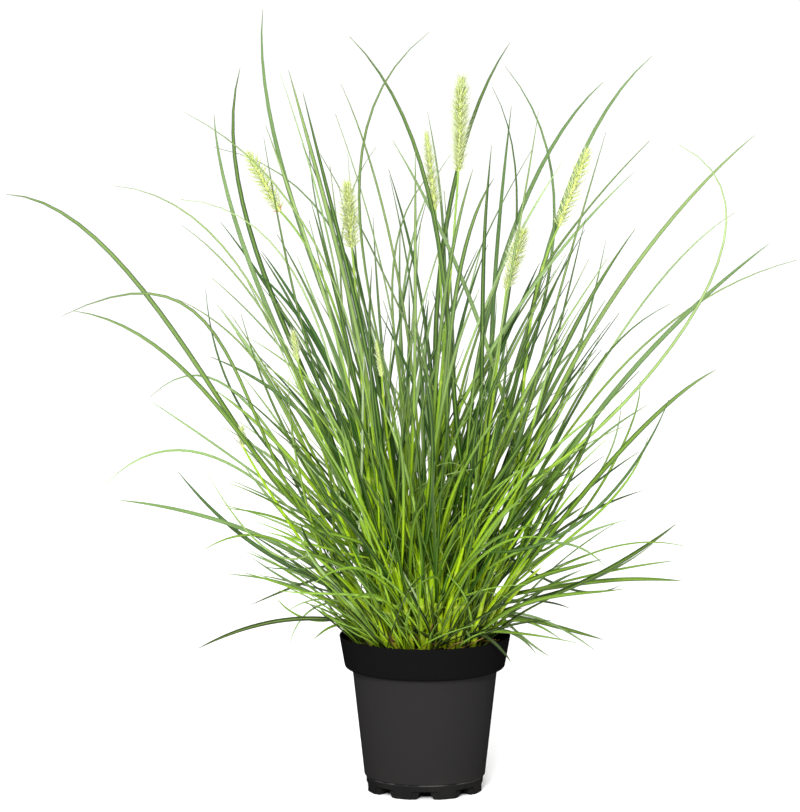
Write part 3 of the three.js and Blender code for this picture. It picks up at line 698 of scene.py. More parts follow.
class Tally:
    """The batches of tubes that make up one piece, each with a material, a UV map and an attribute."""

    def __init__(self):
        self.places, self.maps, self.marks, self.quads, self.ends = [], [], [], [], []
        self.slots = []
        self.finishes = []
        self.count = 0

    def add(self, tubes, finish, share, length, marks):
        """Adds tubes of shape (batch, ring, point, 3). `share`, from edge to edge, and `length`, from
        foot to tip, are the UV map, and `marks` the attribute, each of a shape that spreads to the
        batch's."""
        batch, rings, around, _ = tubes.shape
        shape = (batch, rings, around)
        if finish not in self.finishes:
            self.finishes.append(finish)
        quads, ends = tube_faces(rings, around)
        shift = self.count + np.arange(batch)[:, None, None] * rings * around
        self.quads.append((quads + shift).reshape(-1, 4))
        self.ends.append((ends + shift).reshape(-1, 3))
        slot = self.finishes.index(finish)
        self.slots.append((slot, batch * len(quads), batch * len(ends)))
        self.places.append(tubes.reshape(-1, 3))
        flat = [np.broadcast_to(value, shape).ravel() for value in (share, length)]
        self.maps.append(np.stack(flat, -1))
        self.marks.append(np.stack([np.broadcast_to(mark, shape).ravel() for mark in marks], -1))
        self.count += batch * rings * around

    def piece(self, name, node=None, smooth=True):
        """The finished object, in metres, riding on the plant and standing for its coarse node."""
        quads, ends = np.concatenate(self.quads), np.concatenate(self.ends)
        slots = np.concatenate([np.full(n, slot) for slot, n, _ in self.slots]
                               + [np.full(n, slot) for slot, _, n in self.slots])
        mesh = bpy.data.meshes.new(name)
        fill_mesh(mesh, np.concatenate(self.places) * MM, quads, ends)
        corners = np.concatenate([quads.ravel(), ends.ravel()])
        uv = mesh.uv_layers.new(name="along")
        uv.uv.foreach_set("vector", np.concatenate(self.maps)[corners].astype(np.float32).ravel())
        marks = mesh.attributes.new("marks", "FLOAT_VECTOR", "POINT")
        marks.data.foreach_set("vector", np.concatenate(self.marks).astype(np.float32).ravel())
        for finish in self.finishes:
            mesh.materials.append(finish.material)
        mesh.polygons.foreach_set("material_index", slots.astype(np.int32))
        return place_piece(name, mesh, node, smooth)


def fill_mesh(mesh, places, quads, ends):
    """Puts whole arrays of places, quads and triangles into a mesh."""
    corners = np.concatenate([quads.ravel(), ends.ravel()]).astype(np.int32)
    totals = np.concatenate([np.full(len(quads), 4), np.full(len(ends), 3)]).astype(np.int32)
    mesh.vertices.add(len(places))
    mesh.vertices.foreach_set("co", places.astype(np.float32).ravel())
    mesh.loops.add(len(corners))
    mesh.loops.foreach_set("vertex_index", corners)
    mesh.polygons.add(len(totals))
    mesh.polygons.foreach_set("loop_start", (np.cumsum(totals) - totals).astype(np.int32))
    mesh.update(calc_edges=True)


def place_piece(name, mesh, node=None, smooth=True):
    """An object that holds a mesh, rides on the plant's one body and may stand for a coarse node."""
    mesh.polygons.foreach_set("use_smooth", np.full(len(mesh.polygons), smooth))
    mesh.update()
    made = bpy.data.objects.new(name, mesh)
    bpy.context.scene.collection.objects.link(made)
    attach(made, "root")
    if node:
        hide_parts(node)
    return made


print("faces of a tube of 3 rings of 4 points:", [len(part) for part in tube_faces(3, 4)])

# %% [markdown]
# ## The pot
# A nursery pot is moulded from thin black plastic: a tall collar with a rounded lip, a rounded step
# under it, a plain tapering wall and a foot ring with eight notches that let water out. A wall like
# this is a profile turned about the axis. The profile is drawn up the inside, over the lip, down the
# outside and back under the floor, so the wall has its true thickness, and it is then reversed, so
# that the faces look outwards. The notches and the drain holes are cut out of it, each cutter a block
# whose outline is drawn to the notch's shape.

# %% Pot profile
BAND_FOOT_RADIUS = 80.5
BAND_FOOT_HEIGHT = 126.0
WALL_TOP_RADIUS = 72.5
WALL_FOOT_RADIUS = 61.0
FOOT_RADIUS = 58.7
FOOT_RING_HEIGHT = 15.0
FOOT_RING_INNER_RADIUS = 49.0
WALL = 1.8
FLOOR_UNDERSIDE = 9.5
CENTRE_PAD_RADIUS = 12.0
NOTCHES = 8
NOTCH_HEIGHT = 8.5
NOTCH_WIDTH = 27.0
NOTCH_CLEAR = (9.8, 19.0)
DRAIN_RADIUS = 4.5
DRAIN_CIRCLE_RADIUS = 40.0
POT_SIDES = 192


def arc(centre, radius, start, end, count):
    """Points of a round stretch of an outline, by angles in degrees."""
    angles = np.radians(np.linspace(start, end, count))
    return [(centre[0] + radius * np.cos(a), centre[1] + radius * np.sin(a)) for a in angles]


def between(start, end, count):
    """Points evenly along a straight stretch, without its two ends."""
    return [tuple(p) for p in np.linspace(start, end, count + 2)[1:-1]]


lip = WALL / 2
pot_inside = [
    (0.0, FLOOR_UNDERSIDE + WALL),
    (WALL_FOOT_RADIUS - WALL - 3, FLOOR_UNDERSIDE + WALL),
    (WALL_FOOT_RADIUS - WALL, FOOT_RING_HEIGHT + 1),
    (WALL_TOP_RADIUS - WALL, BAND_FOOT_HEIGHT - 3),
    (BAND_FOOT_RADIUS - WALL, BAND_FOOT_HEIGHT + 3),
]
outer_wall = (WALL_TOP_RADIUS, BAND_FOOT_HEIGHT - 6), (WALL_FOOT_RADIUS, FOOT_RING_HEIGHT + 1.8)
band_side = (RIM_RADIUS - 0.1, POT_HEIGHT - 1.6), (BAND_FOOT_RADIUS + 0.4, BAND_FOOT_HEIGHT + 2.5)
pot_outside = [
    *arc((RIM_RADIUS - lip, POT_HEIGHT - lip), lip, 180, 0, 9),
    band_side[0],
    *between(*band_side, 6),
    band_side[1],
    *arc((BAND_FOOT_RADIUS - 3.2, BAND_FOOT_HEIGHT + 2.5), 3.5, -8, -72, 7),
    *arc((WALL_TOP_RADIUS + 4.6, BAND_FOOT_HEIGHT - 5.9), 4.6, 106, 172, 7),
    outer_wall[0],
    *between(*outer_wall, 10),
    *arc((WALL_FOOT_RADIUS - 1.4, FOOT_RING_HEIGHT + 1.8), 1.4, -6, -80, 5),
    (FOOT_RADIUS + 0.5, FOOT_RING_HEIGHT + 0.1),
    (FOOT_RADIUS + 1.0, FOOT_RING_HEIGHT - 0.4),
    (FOOT_RADIUS + 0.4, FOOT_RING_HEIGHT - 0.9),
    (FOOT_RADIUS + 0.1, FOOT_RING_HEIGHT - 4),
    *arc((FOOT_RADIUS - 0.8, 0.8), 0.8, 0, -90, 5),
    *arc((FOOT_RING_INNER_RADIUS + 0.8, 0.8), 0.8, -90, -180, 5),
    (FOOT_RING_INNER_RADIUS - 1, FLOOR_UNDERSIDE),
    (CENTRE_PAD_RADIUS + 1, FLOOR_UNDERSIDE),
    *arc((CENTRE_PAD_RADIUS - 0.8, 0.8), 0.8, 0, -90, 5),
    (0.0, 0.0),
]
pot_profile = np.array(pot_inside + pot_outside)[::-1]
print("points of the pot's profile:", len(pot_profile))


# %% Turn and cut the pot
def turned(profile, sides):
    """A closed surface of revolution: the profile at each angle about +Z, whose two ends lie on the
    axis and close as fans. The profile runs with the solid on its left."""
    angle = np.arange(sides) * 2 * np.pi / sides
    ring = profile[1:-1]
    x, y = (ring[:, 0, None] * way(angle) for way in (np.cos, np.sin))
    z = np.broadcast_to(ring[:, 1, None], x.shape)
    poles = [(0, 0, profile[0, 1]), (0, 0, profile[-1, 1])]
    places = np.concatenate([np.stack([x, y, z], -1).reshape(-1, 3), poles])
    quads, _ = tube_faces(len(ring), sides)
    here = np.arange(sides)
    after = (here + 1) % sides
    top = (len(ring) - 1) * sides
    first = np.stack([np.full(sides, len(places) - 2), after, here], -1)
    last = np.stack([np.full(sides, len(places) - 1), top + here, top + after], -1)
    return places, quads, np.concatenate([first, last])


def block(outline, near, far, angle):
    """A prism along a radius at an angle: its outline, as (sideways, up) points that run anticlockwise
    seen from outside the pot, is carried from the radius `near` to `far`."""
    out = np.array([np.cos(angle), np.sin(angle), 0])
    aside = np.array([-np.sin(angle), np.cos(angle), 0])
    outline = np.array(outline)
    face = outline[:, 0, None] * aside + outline[:, 1, None] * np.array([0, 0, 1.0])
    return np.stack([face + out * near, face + out * far])


# A notch is a shallow recess with two round corners, and in its middle a gap that flares to the floor
BELOW = -3
recess_half = NOTCH_WIDTH / 2
recess = [
    (-recess_half, BELOW),
    (recess_half, BELOW),
    *arc((recess_half - 2, NOTCH_HEIGHT - 2), 2, 0, 90, 5),
    *arc((2 - recess_half, NOTCH_HEIGHT - 2), 2, 90, 180, 5),
]
gap_top, gap_foot = NOTCH_CLEAR[0] / 2, NOTCH_CLEAR[1] / 2
flare = [(gap_top + (gap_foot - gap_top) * s, NOTCH_HEIGHT * (1 - s) ** 1.6) for s in np.linspace(1, 0, 7)]
gap = [(-gap_foot, BELOW), (gap_foot, BELOW), *flare, *[(-x, z) for x, z in flare[::-1]]]
drain = np.array(arc((0, 0), DRAIN_RADIUS, 0, 360, 29)[:-1])


def drain_block(angle):
    """A round rod through the pot's floor, at an angle about the axis."""
    x, y = DRAIN_CIRCLE_RADIUS * np.cos(angle), DRAIN_CIRCLE_RADIUS * np.sin(angle)
    heights = FLOOR_UNDERSIDE - 3, FLOOR_UNDERSIDE + 6
    return np.stack([np.column_stack([drain + [x, y], np.full(len(drain), z)]) for z in heights])


def knife(name, batches):
    """One mesh out of several cutters, each of two rings, none of which may touch another."""
    places, quads, ends, count = [], [], [], 0
    for rings in batches:
        body, caps = tube_faces(2, rings.shape[1])
        places.append(rings.reshape(-1, 3))
        quads.append(body + count)
        ends.append(caps + count)
        count += rings.shape[0] * rings.shape[1]
    mesh = bpy.data.meshes.new(name)
    fill_mesh(mesh, np.concatenate(places) * MM, np.concatenate(quads), np.concatenate(ends))
    return mesh


def cut(mesh, cutter_mesh):
    """The mesh with the cutter's solids taken out of it, by a Boolean modifier."""
    base, tool = (bpy.data.objects.new(part.name, part) for part in (mesh, cutter_mesh))
    for part in (base, tool):
        bpy.context.scene.collection.objects.link(part)
    boolean = base.modifiers.new("cut", "BOOLEAN")
    boolean.object = tool
    boolean.solver = "MANIFOLD"
    result = bpy.data.meshes.new_from_object(base.evaluated_get(bpy.context.evaluated_depsgraph_get()))
    for part in (base, tool):
        bpy.data.objects.remove(part)
    return result


pot_places, pot_quads, pot_ends = turned(pot_profile, POT_SIDES)
turned_pot = bpy.data.meshes.new("turned_pot")
fill_mesh(turned_pot, pot_places * MM, pot_quads, pot_ends)
notch_angles = np.arange(NOTCHES) * 2 * np.pi / NOTCHES - np.pi / 2
recesses = [block(recess, FOOT_RADIUS - 3, FOOT_RADIUS + 6, angle) for angle in notch_angles]
notch_gaps = [block(gap, FOOT_RING_INNER_RADIUS - 4, FOOT_RADIUS + 2, angle) for angle in notch_angles]
drains = [drain_block(angle) for angle in notch_angles]
pot_mesh = cut(turned_pot, knife("recesses", recesses))
pot_mesh = cut(pot_mesh, knife("gaps_and_drains", notch_gaps + drains))
pot_mesh.name = "nursery_pot"
print("pot: faces turned", len(turned_pot.polygons), "and cut", len(pot_mesh.polygons))

# %% [markdown]
# ## Black moulded plastic
# The plastic is nearly black and matt, so the shader's mirror part is switched off: with it, the pale
# floor would draw white edges on the pot. The wall is a dark grey, and the collar and the foot, which
# catch less light, are painted darker still as painted shade. What keeps it from looking like paint is
# small: the grain of the mould, pale dust near the foot, and a painted highlight along a bead above the
# foot.

# %% Pot finish
def moulded_black():
    """The pot's plastic, in bands by the height over the floor in metres: collar and foot darker as painted
    shade, with dust and a painted highlight along the bead.
    """
    finish = Finish("moulded_black", metallic=0.0, specular_ior_level=0.0)
    spot = finish.place()
    _, _, height = finish.split(spot)
    cloud = finish.noise(spot, 22.0, 4.0, 0.6)
    grain = finish.noise(spot, 900.0, 2.0, 0.5)
    dust = (1 - height.step(0.0, 0.03)) * cloud.step(0.35, 0.8) * 0.2 + grain.step(0.66, 0.8) * 0.06
    # Painted shade: the collar and, below the step, the foot are painted darker because they catch less
    # light
    plastic = finish.mix(height.step(0.1225, 0.125), srgb(33, 32, 32), srgb(13, 13, 13))
    plastic = finish.mix(height.step(0.0128, 0.0138), srgb(22, 22, 22), plastic)
    plastic = finish.mix(dust, plastic, srgb(60, 57, 54))
    # Painted highlight: a pale broken line along the bead above the foot
    bead = height.step(0.0139, 0.0143) * (1 - height.step(0.0149, 0.0153))
    bead_painted_highlight = finish.noise(spot, 60.0, 3.0, 0.6).step(0.38, 0.6) * bead
    finish.give("Base Color", finish.mix(bead_painted_highlight, plastic, srgb(80, 78, 76)))
    finish.give("Roughness", cloud * 0.14 + 0.42)
    finish.bump(grain * 0.6 + cloud * 0.4, 0.0002, 0.35)
    return finish


# The mesh comes from the CAD with a material of its own, which would stay the one that is drawn.
pot_mesh.materials.clear()
pot_mesh.materials.append(moulded_black().material)
pot_mesh.set_sharp_from_angle(angle=np.radians(35))
pot = place_piece("nursery_pot", pot_mesh, "pot")
print("pot: points", len(pot_mesh.vertices), "faces", len(pot_mesh.polygons))

# %% [markdown]
# ## Compost
# Potting compost is peat and bark: dark, reddish brown, and crumbly. It is one closed surface of
# rings, from the middle of the pot's floor up its wall and over the top. The top's height is the
# plan's two waves, heaped a little round the crown, with a finer rumple over them. Loose crumbs, small
# faceted lumps half sunk in, make it read as compost at any distance.

# %% Compost surface
SOIL_AROUND = 160
SOIL_TOP_RINGS = 44
SOIL_GAP = 0.3
HEAP = 6.0
HEAP_EDGE = 76
HEAP_SLOPE = 16
rng = np.random.default_rng(4)


def rumple(x, y):
    """A fine unevenness: eight sine waves, each of a random direction, length and phase."""
    total = np.zeros_like(x)
    for _ in range(8):
        turn, long, phase = rng.uniform(0, 2 * np.pi), rng.uniform(4, 14), rng.uniform(0, 2 * np.pi)
        total += 0.22 * np.sin((x * np.cos(turn) + y * np.sin(turn)) * 2 * np.pi / long + phase)
    return total


def compost_top(x, y):
    """The compost's height in the finer piece: the plan's, raised towards the crown by the heap."""
    return soil_top(x, y) + HEAP * np.clip((HEAP_EDGE - np.hypot(x, y)) / HEAP_SLOPE, 0, 1)


def compost_rings():
    """Rings of a fixed number of points: up the pot's inside, a gap smaller, then inwards over the top,
    whose rumple fades out at the wall."""
    inner = np.array(pot_inside[1:])
    slope = (RIM_RADIUS - 1.4 * WALL - inner[3, 0]) / (POT_HEIGHT - 1.5 - inner[3, 1])
    edge = inner[3, 0] + slope * (SOIL_HEIGHT - inner[3, 1]) - SOIL_GAP
    wall = [(r - SOIL_GAP, z + SOIL_GAP * (i == 0)) for i, (r, z) in enumerate(inner)]
    wall = [(0.01, inner[0, 1] + SOIL_GAP), *wall]
    top_radius = edge * np.linspace(1, 0, SOIL_TOP_RINGS) ** 0.9
    top_radius[-1] = 0.01
    radii = np.concatenate([[r for r, _ in wall], top_radius])[:, None]
    angle = np.arange(SOIL_AROUND) * 2 * np.pi / SOIL_AROUND
    x, y = radii * np.cos(angle), radii * np.sin(angle)
    wall_z = np.broadcast_to(np.array([z for _, z in wall])[:, None], (len(wall), SOIL_AROUND))
    top_x, top_y = x[len(wall):], y[len(wall):]
    fade = np.minimum(1, (edge - top_radius[:, None]) / 3)
    z = np.concatenate([wall_z, compost_top(top_x, top_y) + fade * rumple(top_x, top_y)])
    return np.stack([x, y, z], -1)


def moist_compost():
    """Dark clumps with flecks of paler bark."""
    finish = Finish("moist_compost", roughness=0.92, specular_ior_level=0.1)
    clump = finish.noise(finish.place(), 130.0, 5.0, 0.65)
    bark = finish.noise(finish.place((1, 1, 2.5)), 420.0, 3.0, 0.6)
    earth = finish.mix(clump.step(0.3, 0.7), srgb(20, 10, 6), srgb(54, 27, 15))
    finish.give("Base Color", finish.mix(bark.step(0.6, 0.75) * 0.5, earth, srgb(92, 60, 38)))
    finish.bump(clump * 0.6 + bark * 0.4, 0.0012, 0.8)
    return finish


compost_tally = Tally()
compost_finish = moist_compost()
compost_tally.add(compost_rings()[None], compost_finish, 0.5, 0.5, (0, 0.5, 0))
print("points of the compost's surface:", compost_tally.count)


# %% Crumbs
CRUMBS = 1500


def scatter(count, radius):
    """Random places on the compost, evenly over a disc."""
    out = radius * np.sqrt(rng.uniform(0, 1, count))
    round_ = rng.uniform(0, 2 * np.pi, count)
    x, y = out * np.cos(round_), out * np.sin(round_)
    return np.stack([x, y, compost_top(x, y)], -1)


def lumps(centres, sizes):
    """Crumbs: four small rings of five points about each centre, every point pushed by a random share."""
    level = np.array([-0.8, -0.3, 0.35, 0.8])
    girth = np.array([0.45, 1.0, 0.9, 0.4])
    angle = np.arange(5) * 2 * np.pi / 5
    x, y = girth[:, None] * np.cos(angle), girth[:, None] * np.sin(angle)
    ring = np.stack(np.broadcast_arrays(x, y, level[:, None]), -1)
    push = rng.uniform(0.65, 1.2, (len(centres), 4, 5, 1))
    stretch = rng.uniform(0.6, 1.4, (len(centres), 1, 1, 3))
    return centres[:, None, None, :] + ring * push * stretch * sizes[:, None, None, None]


crumbs = lumps(scatter(CRUMBS, 78), rng.uniform(0.5, 1.9, CRUMBS))
compost_tally.add(crumbs, compost_finish, 0.5, 0.5, (0, 0.5, 0))
compost = compost_tally.piece("compost", "soil", smooth=False)
print("compost faces:", len(compost.data.polygons))

# %% [markdown]
# ## Tubes along a curve
# A stem is a round tube and a blade is a folded one. Both carry a section along a curve, so both need
# two directions across it at every ring. The width of a blade starts level, across the way it leans,
# and turns about the curve by its twist; the upper side is at right angles to it.

# %% Sections along curves
def directions(points, t, azimuth, turned_by):
    """The width and upper directions at each t, turned about the curve by so many degrees."""
    forward = heading(points, t)
    level = np.array([-np.sin(azimuth), np.cos(azimuth), 0.0])
    width = unit(level - forward * (forward @ level)[:, None])
    turn = np.radians(np.broadcast_to(turned_by, len(t)))[:, None]
    width = width * np.cos(turn) + np.cross(forward, width) * np.sin(turn)
    return width, np.cross(forward, width)


def azimuth_of(points):
    """The way that a curve leans from its first point to its last."""
    x, y, _ = points[-1] - points[0]
    return float(np.arctan2(y, x))


def round_tube(places, width, upper, radius, sides):
    """Circles of a radius for each ring, set across the curve by its two directions."""
    angle = np.arange(sides) * 2 * np.pi / sides
    offset = np.cos(angle)[:, None] * width[:, None, :] + np.sin(angle)[:, None] * upper[:, None, :]
    return places[:, None, :] + offset * radius[:, None, None]


# A blade's section, anticlockwise from one edge: across from -1 to 1, then 1 on the upper side
SECTION = np.array([1, 0.5, 0, -0.5, -1, -0.5, 0, 0.5])
UPPER = np.array([0.5, 1, 1, 1, 0.5, 0, 0, 0])
FINE_SECTION = np.array([1, 0, -1, 0])
FINE_UPPER = np.array([0.5, 1, 0.5, 0])


def blade_tube(points, wide, turns, rings, section, upper_side, sway=0.0, fold=0.3, blunt=4.0):
    """A folded blade. Its half width is full from a fifth of the way and thins to the tip as 1 - t to
    the power of how blunt it is. Its two halves rise from the midrib by `fold`, more steeply at the
    root, and its thickness is greatest along the midrib. It starts turned by the first angle and ends
    turned by the second, and `sway` moves it aside in a wave that grows towards the tip."""
    t = (np.arange(rings) / (rings - 1)) ** 1.05
    place = along(points, t)
    width, upper = directions(points, t, azimuth_of(points), turns[0] + (turns[1] - turns[0]) * t)
    place = place + width * (sway * np.sin(t * 2.2 * np.pi) * t)[:, None]
    half = wide / 2 * np.minimum(1, 0.6 + 2 * t) * np.maximum(0, 1 - t**blunt) ** 0.8
    half = np.maximum(half, 0.2)
    rise = fold + 0.9 * np.exp(-t / 0.1)
    lift = half[:, None] * rise[:, None] * (np.abs(section) - 0.5)
    thick = (0.2 + 0.12 * half)[:, None] * (1 + 1.3 * (1 - np.abs(section)) ** 2)
    lift = lift - np.where(upper_side < 0.5, thick, thick * (0.5 - upper_side) * (upper_side == 0.5))
    flat = half[:, None] / np.sqrt(1 + rise[:, None] ** 2) * section
    return place[:, None, :] + flat[:, :, None] * width[:, None, :] + lift[:, :, None] * upper[:, None, :]


trial = blade_tube(shoots[0]["blades"][0]["points"], 5, (0, 30), 12, SECTION, UPPER)
print("a blade's rings, points and coordinates:", trial.shape)

# %% [markdown]
# ## Leaf and stem green
# A blade of this grass isn't one green. Low in the tussock it is lime near its sheath; higher up it is
# blue-green above and brighter beneath, with a pale midrib, fine veins and thin margins, and it
# bleaches at the tip. Some leading blades are pale grey-green. Down between the stems the darker
# blades are painted nearly black, as painted shade. Each blade has its own shade, from 0 dark to 1
# light and 2 pale grey-green, and its own dryness.
# They are kept in the mesh as an attribute of three numbers: upper side, shade and dryness. A stem's
# numbers are how much of a node it is and its shade.

# %% Leaf finish
def grass_blade():
    """The leaf's green. Steps of the height, in metres, deepen it upwards; steps of the leaf's length
    set its foot and tip; the distance from the leaf's middle draws the midrib and the margins."""
    finish = Finish("grass_blade", metallic=0.0, specular_ior_level=0.15)
    upper_side, shade, dryness = finish.marks()
    cross, length = finish.map_parts()
    spot = finish.place()
    east, north, height = finish.split(spot)
    patchy = finish.noise(spot, 18.0, 3.0)
    high = height.step(0.28, 0.5)
    dark = finish.mix(high, srgb(20, 46, 4), srgb(36, 66, 24))
    light = finish.mix(high, srgb(126, 168, 32), srgb(146, 170, 106))
    green = finish.mix(shade, dark, light)
    blue = finish.mix(shade, srgb(38, 74, 28), srgb(156, 182, 128))
    body = finish.mix(upper_side * length.step(0.1, 0.45) * 0.8, green, blue)
    fresh = finish.mix(shade.step(0.15, 0.8), srgb(38, 80, 2), srgb(154, 190, 8))
    # Lime belongs to the tussock's inside: how far a place lies outside a cone that widens upwards
    outside = (east * east + north * north) ** 0.5 - (height - 0.15) * 0.5
    young = (1 - height.step(0.3, 0.52)) * (1 - length.step(0.2, 0.75)) * (1 - outside.step(0.045, 0.09))
    body = finish.mix(young * 0.9, body, fresh)
    body = finish.mix(patchy.step(0.35, 0.75) * 0.3, body, srgb(34, 66, 14))
    # Painted shade: low down between the stems the darker blades go nearly black
    painted_crown_shade = (1 - height.step(0.17, 0.235)) * (1 - shade.step(0.3, 0.75))
    body = finish.mix(painted_crown_shade * 0.82, body, srgb(12, 22, 3))
    off_middle = (cross - 0.5) * (cross - 0.5)
    midrib = (1 - off_middle.step(0.001, 0.012)) * (1 - upper_side * 0.5)
    body = finish.mix(midrib * 0.45, body, srgb(128, 154, 62))
    body = finish.mix(off_middle.step(0.19, 0.245) * 0.25, body, srgb(124, 144, 80))
    veins = finish.node("ShaderNodeMath", {"operation": "SINE"}, {0: cross * 75.0})
    body = finish.mix(veins.step(0.2, 1.0) * 0.14, body, srgb(24, 50, 10))
    # Shades above 1 turn the blade pale grey-green
    body = finish.mix(shade.step(1.1, 1.9) * 0.85, body, srgb(144, 162, 122))
    bleached = (length + dryness * 0.2 + patchy * 0.05).step(1.0, 1.12)
    body = finish.mix(bleached * 0.5, body, srgb(168, 178, 116))
    dead = (length * 0.4 + dryness).step(0.95, 1.15)
    body = finish.mix(dead, body, finish.mix(patchy, srgb(106, 74, 36), srgb(160, 130, 78)))
    finish.give("Base Color", body)
    finish.give("Roughness", upper_side * 0.14 + 0.38)
    finish.bump(veins * 0.5 + midrib, 0.00012, 0.6)
    return finish


leaf_finish = grass_blade()
print("leaf nodes:", len(leaf_finish.tree.nodes))


# %% Stem finish
def green_stem():
    """The stem's green: lime at the crown and duller upwards, with streaks and pale nodes, yellower
    towards the foot and reddish at the very foot."""
    finish = Finish("green_stem", metallic=0.0, specular_ior_level=0.2)
    ring_mark, shade, _ = finish.marks()
    _, _, height = finish.split(finish.place())
    streak = finish.noise(finish.place((1, 1, 0.06)), 1400.0, 2.0)
    lime = finish.mix(shade, srgb(96, 138, 2), srgb(152, 184, 12))
    tone = finish.mix(height.step(0.28, 0.56) * 0.85, lime, srgb(118, 146, 68))
    tone = finish.mix(streak.step(0.4, 0.7) * 0.3, tone, srgb(62, 104, 6))
    tone = finish.mix(ring_mark * 0.7, tone, srgb(176, 188, 84))
    tone = finish.mix((1 - height.step(0.165, 0.26)) * 0.4, tone, srgb(150, 166, 22))
    foot_red = (1 - (height + shade * 0.012).step(0.152, 0.172)) * 0.6
    finish.give("Base Color", finish.mix(foot_red, tone, srgb(84, 40, 20)))
    finish.give("Roughness", streak * 0.12 + 0.32)
    finish.bump(streak, 0.0001, 0.5)
    return finish


stem_finish = green_stem()
print("stem nodes:", len(stem_finish.tree.nodes))

# %% [markdown]
# ## Shoots
# A grass stem is hidden in leaf sheaths: each blade grows from the top of a sheath that wraps the
# stem below it, so the stem is thicker under each blade than over it. Where a sheath is joined on there
# is a node, a slightly swollen pale ring. The stem here is a round tube whose radius adds these up, and
# a stem without a head thins out into its last blade.

# %% Stems
STEM_SIDES = 10
STEM_RING_STEP = 3
NODE_SPACING = (14.0, 46.0, 92.0, 170.0, 270.0, 385.0)
# How much of its plain radii a stem has at its foot and at its top
FOOT_SHARE = 0.78
TOP_SHARE = 1.15


def stem_tube(shoot, rings):
    """A stem: its radius narrows from foot to top, is 0.35 thicker under each blade, and swells by
    0.45 in a bell of 1.6 width at each node. Without a head it closes to a tip at its very top. Returns
    the tube and how much of a node each ring is."""
    points = shoot["points"]
    wide, narrow = shoot["radii"][0] * FOOT_SHARE, shoot["radii"][1] * TOP_SHARE
    reach = length_of(points)
    t = np.linspace(0, 1, rings)
    place = along(points, t)
    width, upper = directions(points, t, 0.0, 0.0)
    below = np.array([[blade["start"] for blade in shoot["blades"]]])
    sheath = 0.35 * (1 / (1 + np.exp((t[:, None] - below) * reach / 1.5))).sum(axis=1)
    from_node = t[:, None] * reach - np.array([NODE_SPACING])
    swelling = 0.45 * np.exp(-((from_node / 1.6) ** 2)).sum(axis=1)
    radius = (wide + (narrow - wide) * t) + np.minimum(sheath, 1.2) * (1 - 0.5 * t) + swelling
    if "head" not in shoot:
        radius = radius * np.maximum(0.06, 1 - t**9) ** 0.6
    foot = place[0] - np.array([0, 0, ROOTING_DEPTH])
    place = np.concatenate([[foot], place])
    width, upper = (np.concatenate([way[:1], way]) for way in (width, upper))
    radius = np.concatenate([radius[:1], radius])
    pale = np.concatenate([[0], np.exp(-(((from_node + 1.2) / 1.8) ** 2)).sum(axis=1)])
    return round_tube(place, width, upper, radius, STEM_SIDES), np.minimum(1, pale)


def add_stem(tally, shoot, shade=None):
    """A shoot's stem, with rings every three millimetres so that its nodes are round."""
    tube, pale = stem_tube(shoot, int(length_of(shoot["points"]) / STEM_RING_STEP) + 2)
    length = np.linspace(0, 1, len(tube))[:, None]
    share = (np.arange(STEM_SIDES) / STEM_SIDES)[None, :]
    shade = rng.uniform(0, 1) if shade is None else shade
    tally.add(tube[None], stem_finish, share, length, (pale[:, None], shade, 0.0))


print("a stem's rings, points and coordinates:", stem_tube(shoots[0], 40)[0].shape)

# %% [markdown]
# ## Leaves
# A leading blade is broad nearly to its tip, and turns its broad side to the front where the real one
# does. The other blades of the plan are plainer. Besides these, each shoot gets a few finer ones, which
# only Blender shows: the narrow leaves that fill the tussock between the large ones.

# %% Blades
WIDER = 1.12
BLADES = (26, SECTION, UPPER)
FINE_BLADES = (16, FINE_SECTION, FINE_UPPER)
FINE_A_SHOOT = 3
# The shades of leading blades that stand out, judged one by one, by where their tips are seen: 0 is
# dark, 1 light and 2 pale grey-green
TONES = {
    (-417, 594): 0.35, (-310, 604): 0.7, (-243, 590): 1.5, (-243, 564): 0.6, (-210, 675): 0.4,
    (-184, 721): 0.15, (-161, 779): 0.3, (-239, 676): 0.7, (-209, 642): 0.35, (-160, 652): 0.2,
    (-144, 717): 0.8, (-136, 719): 0.6, (-122, 697): 0.05, (-115, 654): 0.3, (-75, 752): 0.15,
    (4, 756): 0.3, (-84, 705): 0.6, (84, 746): 0.15, (79, 722): 0.3, (225, 732): 0.35,
    (252, 645): 1.3, (328, 654): 0.6, (342, 547): 0.3, (370, 530): 0.6, (244, 485): 0.15,
    (292, 419): 0.35, (244, 389): 0.1, (223, 352): 0.9, (252, 264): 0.1, (259, 241): 0.5,
    (229, 243): 0.25, (252, 226): 0.55, (259, 206): 0.45, (179, 145): 0.5, (171, 134): 0.6,
    (125, 128): 0.7, (145, 177): 0.3, (196, 201): 0.25, (181, 219): 0.45, (-320, 304): 0.75,
    (-248, 316): 0.08, (-218, 314): 1.5, (-308, 287): 0.4, (-192, 306): 0.5, (-224, 236): 0.7,
    (-180, 235): 0.3, (-161, 256): 1.2, (-200, 213): 0.4, (-176, 181): 0.15, (-229, 136): 0.35,
    (-136, 142): 0.7, (-137, 175): 1.2, (-364, 473): 0.4, (-351, 478): 0.35, (-275, 392): 0.5,
}


def facing(blade):
    """The turn at a blade's start and end. Half way up it shows the front its broad side, give or take
    a spread, and its twist goes evenly to both ends."""
    width, upper = directions(blade["points"], np.array([0.5]), azimuth_of(blade["points"]), 0.0)
    level = np.degrees(np.arctan(width[0, 1] / (-upper[0, 1] - 1e-6)))
    middle = level + rng.normal(0, blade.get("spread", 30))
    return middle - blade["twist"] / 2, middle + blade["twist"] / 2


